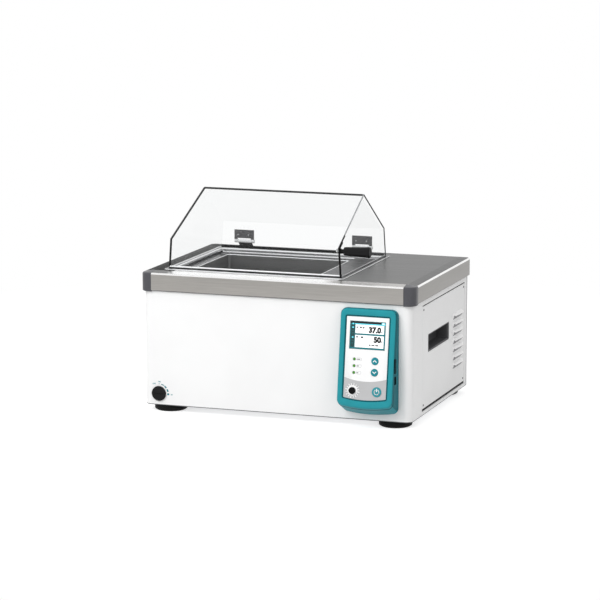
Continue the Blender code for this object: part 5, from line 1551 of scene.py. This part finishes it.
def make_lamps():
    for number, down in enumerate(lamp_downs):
        x = panel_x + lamp_x
        profile = [
            (0.0023, -0.0055), (0.0023, -0.0012), (0.0021, -0.0009), (0.0015, -0.00068), (0.0007, -0.0006),
        ]
        loops = [[on_face(a, b, out) for a, b in disc(x, down, r, 32)] for r, out in profile]
        bounded(
            f"lamp_lens_{number + 1}", lofted(loops), lens_green, smooth=60,
            replaces=[f"status_lamp_{number + 1}"],
        )
        ring = [(0.0026, -0.00125), (0.0026, -0.00105), (0.0030, -0.00105), (0.0030, -0.00125)]
        loops = [[on_face(a, b, out) for a, b in disc(x, down, r, 32)] for r, out in ring]
        bounded(f"lamp_bezel_{number + 1}", lofted(loops, ring=True), ink_grey)
        flat = -plate_recess
        patch(
            f"lamp_label_{number + 1}", -0.0185, -0.0085, down - 0.0027, down + 0.0027, flat, ink_grey,
            radius=0.0026,
        )
        patch(
            f"lamp_field_{number + 1}", -0.0181, -0.0089, down - 0.0023, down + 0.0023, flat + 0.00009,
            plate_white, radius=0.0022,
        )
        width = (0.0056, 0.0040, 0.0034)[number]
        patch(
            f"lamp_mark_{number + 1}", -0.0172, -0.0172 + width, down - 0.0007, down + 0.0007, flat + 0.00018,
            ink_mark, radius=0.0004,
        )


def make_jog():
    """The jog dial with fine ribs, its white ring and the rays round it."""
    x, down = panel_x + jog_x, jog_down
    under = -plate_recess + 0.0008
    profile = [
        (0.0030, -0.006), (0.0030, under), (0.0060, under), (0.0063, under + 0.0003),
        (0.0063, under + 0.0034),
    ]
    profile += [
        (0.0060, under + 0.0040), (0.0053, under + 0.0045), (0.0042, under + 0.0043),
        (0.0036, under + 0.0038), (0.0012, under + 0.0037),
    ]
    knob = ribbed(
        profile, 96, lambda radius: 0.00012 if 0.0062 < radius < 0.0064 else 0.0,
        lambda a, b, out: on_face(x + a, down + b, out),
    )
    bounded("jog_knob", knob, jog_black, "jog_body", 35, ["jog_dial"])
    flat = -plate_recess + 0.0001
    loops = []
    for radius, out in ((0.0036, flat), (0.0036, flat + 0.0003), (0.0094, flat + 0.0003), (0.0097, flat)):
        loops.append([on_face(a, b, out) for a, b in disc(x, down, radius, 64)])
    bounded("jog_ring", lofted(loops, ring=True), ink_white)
    shapes = []
    for number in range(16):
        angle = 2 * pi * (number + 0.5) / 16
        inner, outer = 0.0107, 0.0124 if number % 2 else 0.0134
        path = [
            (x + inner * cos(angle), down + inner * sin(angle)),
            (x + outer * cos(angle), down + outer * sin(angle)),
        ]
        shapes.append(stroke_shape(path, 0.0011, flat))
    bounded("jog_rays", merged(*shapes), ink_white, smooth=0)


# ---------------------------------------------------------------- small outer pieces


def make_limit_dial():
    """The slotted dial with its knurled edge, and the scale printed round it."""
    low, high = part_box("limit_dial")
    x, z = limit_centre()
    top = low.y
    back = body_front - 0.0003
    profile = [
        (0.0030, high.y), (0.0030, back), (0.0138, back), (0.0140, back - 0.0003), (0.0140, top + 0.0008),
    ]
    profile += [
        (0.0137, top + 0.0003), (0.0131, top), (0.0110, top), (0.0105, top + 0.0003), (0.0010, top + 0.0003),
    ]
    knob = ribbed(
        profile, 120, lambda radius: 0.00018 if radius > 0.0139 else 0.0,
        lambda a, b, y: (x + a, y, z + b),
    )
    dial = bounded("limit_knob", knob, black, "limit_body", 35, ["limit_dial"])
    carve(dial, block(x - 0.010, x + 0.010, top - 0.002, top + 0.0016, z - 0.0011, z + 0.0011))
    make_limit_scale(x, z)


def make_limit_scale(x, z):
    """Generic scale: growing segments to a dot, and three numbers."""
    face = body_front - 0.00012
    ring = 0.0180
    shapes = []
    spans = ((93, 87, 0.0005), (76, 58, 0.0009), (54, 37, 0.0013), (29, 13, 0.0016))
    for start, end, half in spans:
        inner, outer = [], []
        for step in range(7):
            angle = radians(start + (end - start) * step / 6)
            grow = half * (0.7 + 0.3 * step / 6)
            inner.append((x + (ring - grow) * cos(angle), z + (ring - grow) * sin(angle)))
            outer.append((x + (ring + grow) * cos(angle), z + (ring + grow) * sin(angle)))
        outline = outer + inner[::-1]
        shapes.append(lofted([along_y(outline, face), along_y(outline, face - 0.0001)]))
    dot = [(x + ring + 0.0020 * cos(a * pi / 16), z - 0.0006 + 0.0020 * sin(a * pi / 16)) for a in range(32)]
    shapes.append(lofted([along_y(dot, face), along_y(dot, face - 0.0001)]))
    bounded("limit_scale", merged(*shapes), scale_teal, smooth=0)
    facing = Matrix.Rotation(pi / 2, 4, "X")
    labels = (
        ("limit_low", "OFF", -0.0098, 0.0177), ("limit_middle", "100", 0.0005, 0.0222),
        ("limit_high", "60", 0.0250, -0.0010),
    )
    for name, text, dx, dz in labels:
        place = Matrix.Translation((x + dx, face - 0.0001, z + dz)) @ facing
        lettered(name, text, 0.0036, place, label_teal, 0.00008)


def make_port():
    """The data socket: a dark mouth with a tongue and contacts, in a thin bezel."""
    low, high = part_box("data_socket")
    y, z = (low.y + high.y) / 2, (low.z + high.z) / 2
    mouth_x = high.x
    loops = []
    for grow, back in (
        (0.0012, 0.0130), (0.0012, 0.0003), (0.0009, 0.0), (0.0003, 0.0), (0.0, 0.0004), (0.0, 0.0120),
    ):
        outline = rounded(
            y - 0.0040 - grow, y + 0.0040 + grow, z - 0.00725 - grow, z + 0.00725 + grow, 0.0010, 4,
        )
        loops.append(along_x(outline, mouth_x - back))
    bounded("socket_shell", lofted(loops), shadow_and_ink_black, replaces=["data_socket"])
    outer_x = panel_right + panel_draft * 0.55
    sleeve = []
    for size, x in (
        (0.0001, mouth_x - 0.0002), (0.0001, outer_x + 0.0004), (0.0010, outer_x + 0.0004),
        (0.0010, mouth_x - 0.0002),
    ):
        outline = rounded(
            y - 0.0043 + size, y + 0.0043 - size, z - 0.0075 + size, z + 0.0075 - size, 0.0012, 4,
        )
        sleeve.append(along_x(outline, x))
    bounded("socket_sleeve", lofted(sleeve, ring=True), shadow_and_ink_black)
    low_z, high_z = z + 0.0125, z + 0.0400
    for name, front, back, finish in (
        ("cover_seam", -0.0046, 0.0046, shadow_and_ink_black), ("cover_lens", -0.0040, 0.0036, teal_dark_and_shade),
    ):
        loops = []
        for inset, out in (
            (0.0, -0.0010), (0.0, 0.0003 if finish is shadow_and_ink_black else 0.0005), (0.0006, 0.0007),
        ):
            outline = rounded(y + front + inset, y + back - inset, low_z + inset, high_z - inset, 0.0024, 6)
            loops.append(
                [(outer_x + out - (b - y) * panel_draft / 0.034, b, c) for x, b, c in along_x(outline, 0.0)]
            )
        bounded(f"side_{name}", lofted(loops), finish)
    tongue = bounded(
        "socket_tongue",
        block(mouth_x - 0.0118, mouth_x - 0.0015, y + 0.0008, y + 0.0022, z - 0.0058, z + 0.0058), black,
        smooth=0,
    )
    bevelled(tongue, 0.0003, 2)
    pins = []
    for number in range(4):
        at = z - 0.0042 + number * 0.0028
        pins.append(
            block(mouth_x - 0.0110, mouth_x - 0.0025, y + 0.0005, y + 0.0008, at - 0.0005, at + 0.0005)
        )
    bounded("socket_contacts", merged(*pins), brass, smooth=0)


def make_inlet_details():
    """Pins of the inlet and the small holder below it."""
    low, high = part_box("power_inlet")
    x, z = (low.x + high.x) / 2, (low.z + high.z) / 2
    mouth_y = high.y
    middle = z + 0.010
    pins = []
    for dx, dz in ((-0.0065, -0.0028), (0.0, 0.0030), (0.0065, -0.0028)):
        pins.append(
            block(
                x + dx - 0.0020, x + dx + 0.0020, mouth_y - 0.0155, mouth_y - 0.0035, middle + dz - 0.0010,
                middle + dz + 0.0010,
            )
        )
    bevelled(bounded("inlet_pins", merged(*pins), bright, smooth=0), 0.0004, 2)
    shapes = []
    for inset, out in ((0.0, 0.0), (0.0, 0.0010), (0.0006, 0.0016), (0.0020, 0.0017)):
        outline = rounded(
            x - 0.0105 + inset, x + 0.0105 - inset, z - 0.0195 + inset, z - 0.0035 - inset, 0.0012, 4,
        )
        shapes.append(along_y(outline, mouth_y + out - 0.0004))
    bounded("inlet_holder", lofted(shapes), black)


def rear_screws():
    heads, places = [], []
    low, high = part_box("rear_panel")
    for x in (low.x + 0.008, (low.x + high.x) / 2, high.x - 0.008):
        for z in (low.z + 0.012, high.z - 0.040):
            places.append((x, z))
    fan_low, fan_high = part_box("fan_frame")
    for x in (fan_low.x + 0.005, fan_high.x - 0.005):
        for z in (fan_low.z + 0.005, fan_high.z - 0.005):
            places.append((x, z))
    for x, z in places:
        profile = [(0.0026, -0.0002), (0.0026, 0.0002), (0.0022, 0.0008), (0.0012, 0.0011), (0.0001, 0.0011)]
        heads.append(turned(profile, (x, body_back, z), "Y", 28))
    bounded("rear_screws", merged(*heads), zinc)


def make_hinge_webs():
    """A narrow web along the notch of each hinge leaf, clear of the barrel that turns below it."""
    for tag in ("left", "right"):
        leaf_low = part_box(f"hinge_leaf_{tag}")[0]
        bracket_low, bracket_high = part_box(f"hinge_bracket_{tag}")
        points, faces = block(
            bracket_low.x - 0.0002, bracket_high.x + 0.0002, leaf_low.y + 0.0001, leaf_low.y + 0.0018,
            bracket_high.z + 0.0024, bracket_high.z + 0.0050,
        )
        web = bounded(
            f"hinge_web_{tag}", (points, faces), hinge_steel, "lid_body", smooth=0,
        )
        bevelled(web, 0.0002, 2)


def make_hinge_screws():
    """Bright screws in each hinge leaf, seen through the lid."""
    for tag in ("left", "right"):
        low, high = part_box(f"hinge_leaf_{tag}")
        heads = []
        for x in (low.x + 0.0095, high.x - 0.0095):
            profile = [(0.0014, -0.0044), (0.0014, -0.0050), (0.0011, -0.0053), (0.0001, -0.0054)]
            heads.append(turned(profile, (x, low.y, high.z - 0.0090), "Y", 24))
        bounded(f"hinge_screws_{tag}", merged(*heads), zinc, "lid_body")


# ---------------------------------------------------------------- carried-over CAD nodes


def finish_node(name, finish, bevel=0.0):
    """Keeps a CAD node's own shape, and gives it soft edges and its finish."""
    thing = nodes[name]
    thing.data.materials.clear()
    thing.data.materials.append(finish)
    weld = thing.modifiers.new("Weld", "WELD")
    weld.merge_threshold = 1e-5
    if bevel:
        bevelled(thing, bevel, 2, 35)
    split = thing.modifiers.new("EdgeSplit", "EDGE_SPLIT")
    split.split_angle = radians(50 if bevel else 35)
    thing.data.shade_smooth()
    flats = thing.modifiers.new("WeightedNormal", "WEIGHTED_NORMAL")
    flats.weight = 100


kept = (
    (zinc, "zinc_plated_steel", {
        "base_pan": 0.0002, "drive_frame": 0.0004, "crank_disc": 0.0003, "power_supply": 0.0006,
    }),
    (white, "white_powder_coat", {"rear_panel": 0.0002}),
    (basin_steel, "tank_stainless", {"tank_basin": 0.0}),
    (tray_steel, "tray_stainless", {"shaker_tray": 0.0003}),
    (glide, "white_glide_plastic", {"tray_rail_front": 0.0006, "tray_rail_rear": 0.0006}),
    (magnet, "magnet_case", {"tray_magnet": 0.0006, "carriage_magnet": 0.0005}),
    (aluminium, "aluminium", {"magnet_carriage": 0.0006, "connecting_rod": 0.0004}),
    (bright, "bright_steel", {
        "guide_rod_front": 0.0004, "guide_rod_rear": 0.0004, "hinge_pin_left": 0.0002,
        "hinge_pin_right": 0.0002, "lid_handle_stud": 0.0003,
    }),
    (motor_paint, "motor_enamel", {"gear_motor": 0.0}),
    (foil, "heating_foil", {"heating_foil_front": 0.0002, "heating_foil_rear": 0.0002}),
    (bright, "brushed_stainless", {"drain_pipe": 0.0}),
    (brass, "nickel_brass", {"drain_valve": 0.0005}),
    (red, "red_lever_plastic", {"drain_lever": 0.0006}),
    (board_green, "board_laminate", {"control_board": 0.0002}),
    (black, "black_plastic", {
        "limit_thermostat": 0.0005, "power_inlet": 0.0005, "fan_frame": 0.0004, "fan_rotor": 0.0,
    }),
    (hinge_steel, "dark_hinge_steel", {
        "hinge_leaf_left": 0.0004, "hinge_leaf_right": 0.0004, "hinge_bracket_left": 0.0003,
        "hinge_bracket_right": 0.0003,
    }),
)


# ---------------------------------------------------------------- stage


def make_floor():
    """A pale floor that keeps the object's soft shadow and runs out to white."""
    size = 60.0
    mesh = bpy.data.meshes.new("floor")
    mesh.from_pydata(
        [(-size, -size, 0), (size, -size, 0), (size, size, 0), (-size, size, 0)], [], [(0, 1, 2, 3)],
    )
    floor = bpy.data.objects.new("floor", mesh)
    bpy.context.scene.collection.objects.link(floor)
    made = Shader("floor_pale", (0.62, 0.62, 0.62, 1.0), 0.9, Specular_IOR_Level=0.0)
    glow = made.add("ShaderNodeEmission")
    glow.inputs["Strength"].default_value = 1.0
    lift = made.add("ShaderNodeEmission")
    lift.inputs["Strength"].default_value = 0.62
    total = made.add("ShaderNodeAddShader")
    made.link(made.shader.outputs[0], total.inputs[0])
    made.link(lift.outputs[0], total.inputs[1])
    middle = made.add("ShaderNodeVectorMath", operation="LENGTH")
    made.link(made.coordinates.outputs["Object"], middle.inputs[0])
    far = made.ranged(middle.outputs["Value"], 0.7, 1.4, 0.0, 1.0)
    fade = made.blend(far, total.outputs[0], glow.outputs[0])
    surface = made.blend(made.seen(), made.shader.outputs[0], fade)
    made.link(surface, made.output.inputs["Surface"])
    mesh.materials.append(made.material)


def make_world():
    world = bpy.data.worlds.new("studio")
    bpy.context.scene.world = world
    world.use_nodes = True
    world.node_tree.nodes.clear()
    made = Wiring(world.node_tree)
    output = made.add("ShaderNodeOutputWorld")
    soft = made.add("ShaderNodeBackground")
    overhead = made.add("ShaderNodeTexCoord")
    split = made.add("ShaderNodeSeparateXYZ")
    made.link(overhead.outputs["Generated"], split.inputs["Vector"])
    made.link(made.ranged(split.outputs["Z"], 0.0, 1.0, 0.48, 1.25), soft.inputs["Strength"])
    plain = made.add("ShaderNodeBackground")
    plain.inputs["Color"].default_value = (1.0, 1.0, 1.0, 1.0)
    plain.inputs["Strength"].default_value = 1.0
    made.link(made.blend(made.seen(), soft.outputs[0], plain.outputs[0]), output.inputs["Surface"])


def make_lamp(name, place, aim, size, power, glossy=False):
    data = bpy.data.lights.new(name, "AREA")
    data.energy = power
    data.size = size
    lamp = bpy.data.objects.new(name, data)
    bpy.context.scene.collection.objects.link(lamp)
    lamp.location = place
    lamp.rotation_mode = "QUATERNION"
    lamp.rotation_quaternion = (Vector(aim) - Vector(place)).to_track_quat("-Z", "Y")
    lamp.visible_glossy = glossy
    return lamp


def make_camera():
    azimuth, elevation, roll = 0.3381, 0.1756, -0.0011
    data = bpy.data.cameras.new("camera")
    data.lens = 164.289
    data.sensor_width = 36.0
    camera = bpy.data.objects.new("camera", data)
    bpy.context.scene.collection.objects.link(camera)
    back = Vector((sin(azimuth) * cos(elevation), -cos(azimuth) * cos(elevation), sin(elevation)))
    right = Vector((cos(azimuth), sin(azimuth), 0.0))
    up = back.cross(right)
    turned_right = right * cos(roll) + up * sin(roll)
    turned_up = up * cos(roll) - right * sin(roll)
    matrix = Matrix((turned_right, turned_up, back)).transposed().to_4x4()
    matrix.translation = deck_low + Vector((1.93240, -4.60592, 0.86618))
    camera.matrix_world = matrix
    data.clip_start, data.clip_end = 0.1, 200.0
    bpy.context.scene.camera = camera


make_camera()
for finish, slot, bevels in kept:
    for name, bevel in bevels.items():
        finish_node(name, finish, bevel)
make_deck()
make_cap("cap_left", -1)
make_cap("cap_right", 1)
make_wrap()
make_rear_edges()
make_side_panel("flank_right", 1)
make_side_panel("flank_left", -1)
make_hold("hold_right", 1)
make_hold("hold_left", -1)
make_feet()
make_rim()
make_ledge_cover()
make_lid()
make_handle()
make_hinge_webs()
make_hinge_screws()
make_housing()
make_plate()
make_screen()
make_keys()
make_lamps()
make_jog()
make_limit_dial()
make_port()
make_inlet_details()
rear_screws()
make_floor()
make_world()
make_lamp("key_light", (-1.2, -2.8, 2.4), (0.0, 0.0, 0.15), 2.2, 74.0)
make_lamp("fill_light", (2.6, -1.4, 1.8), (0.0, 0.0, 0.15), 2.0, 10.0)

bpy.context.scene.view_settings.view_transform = "Standard"
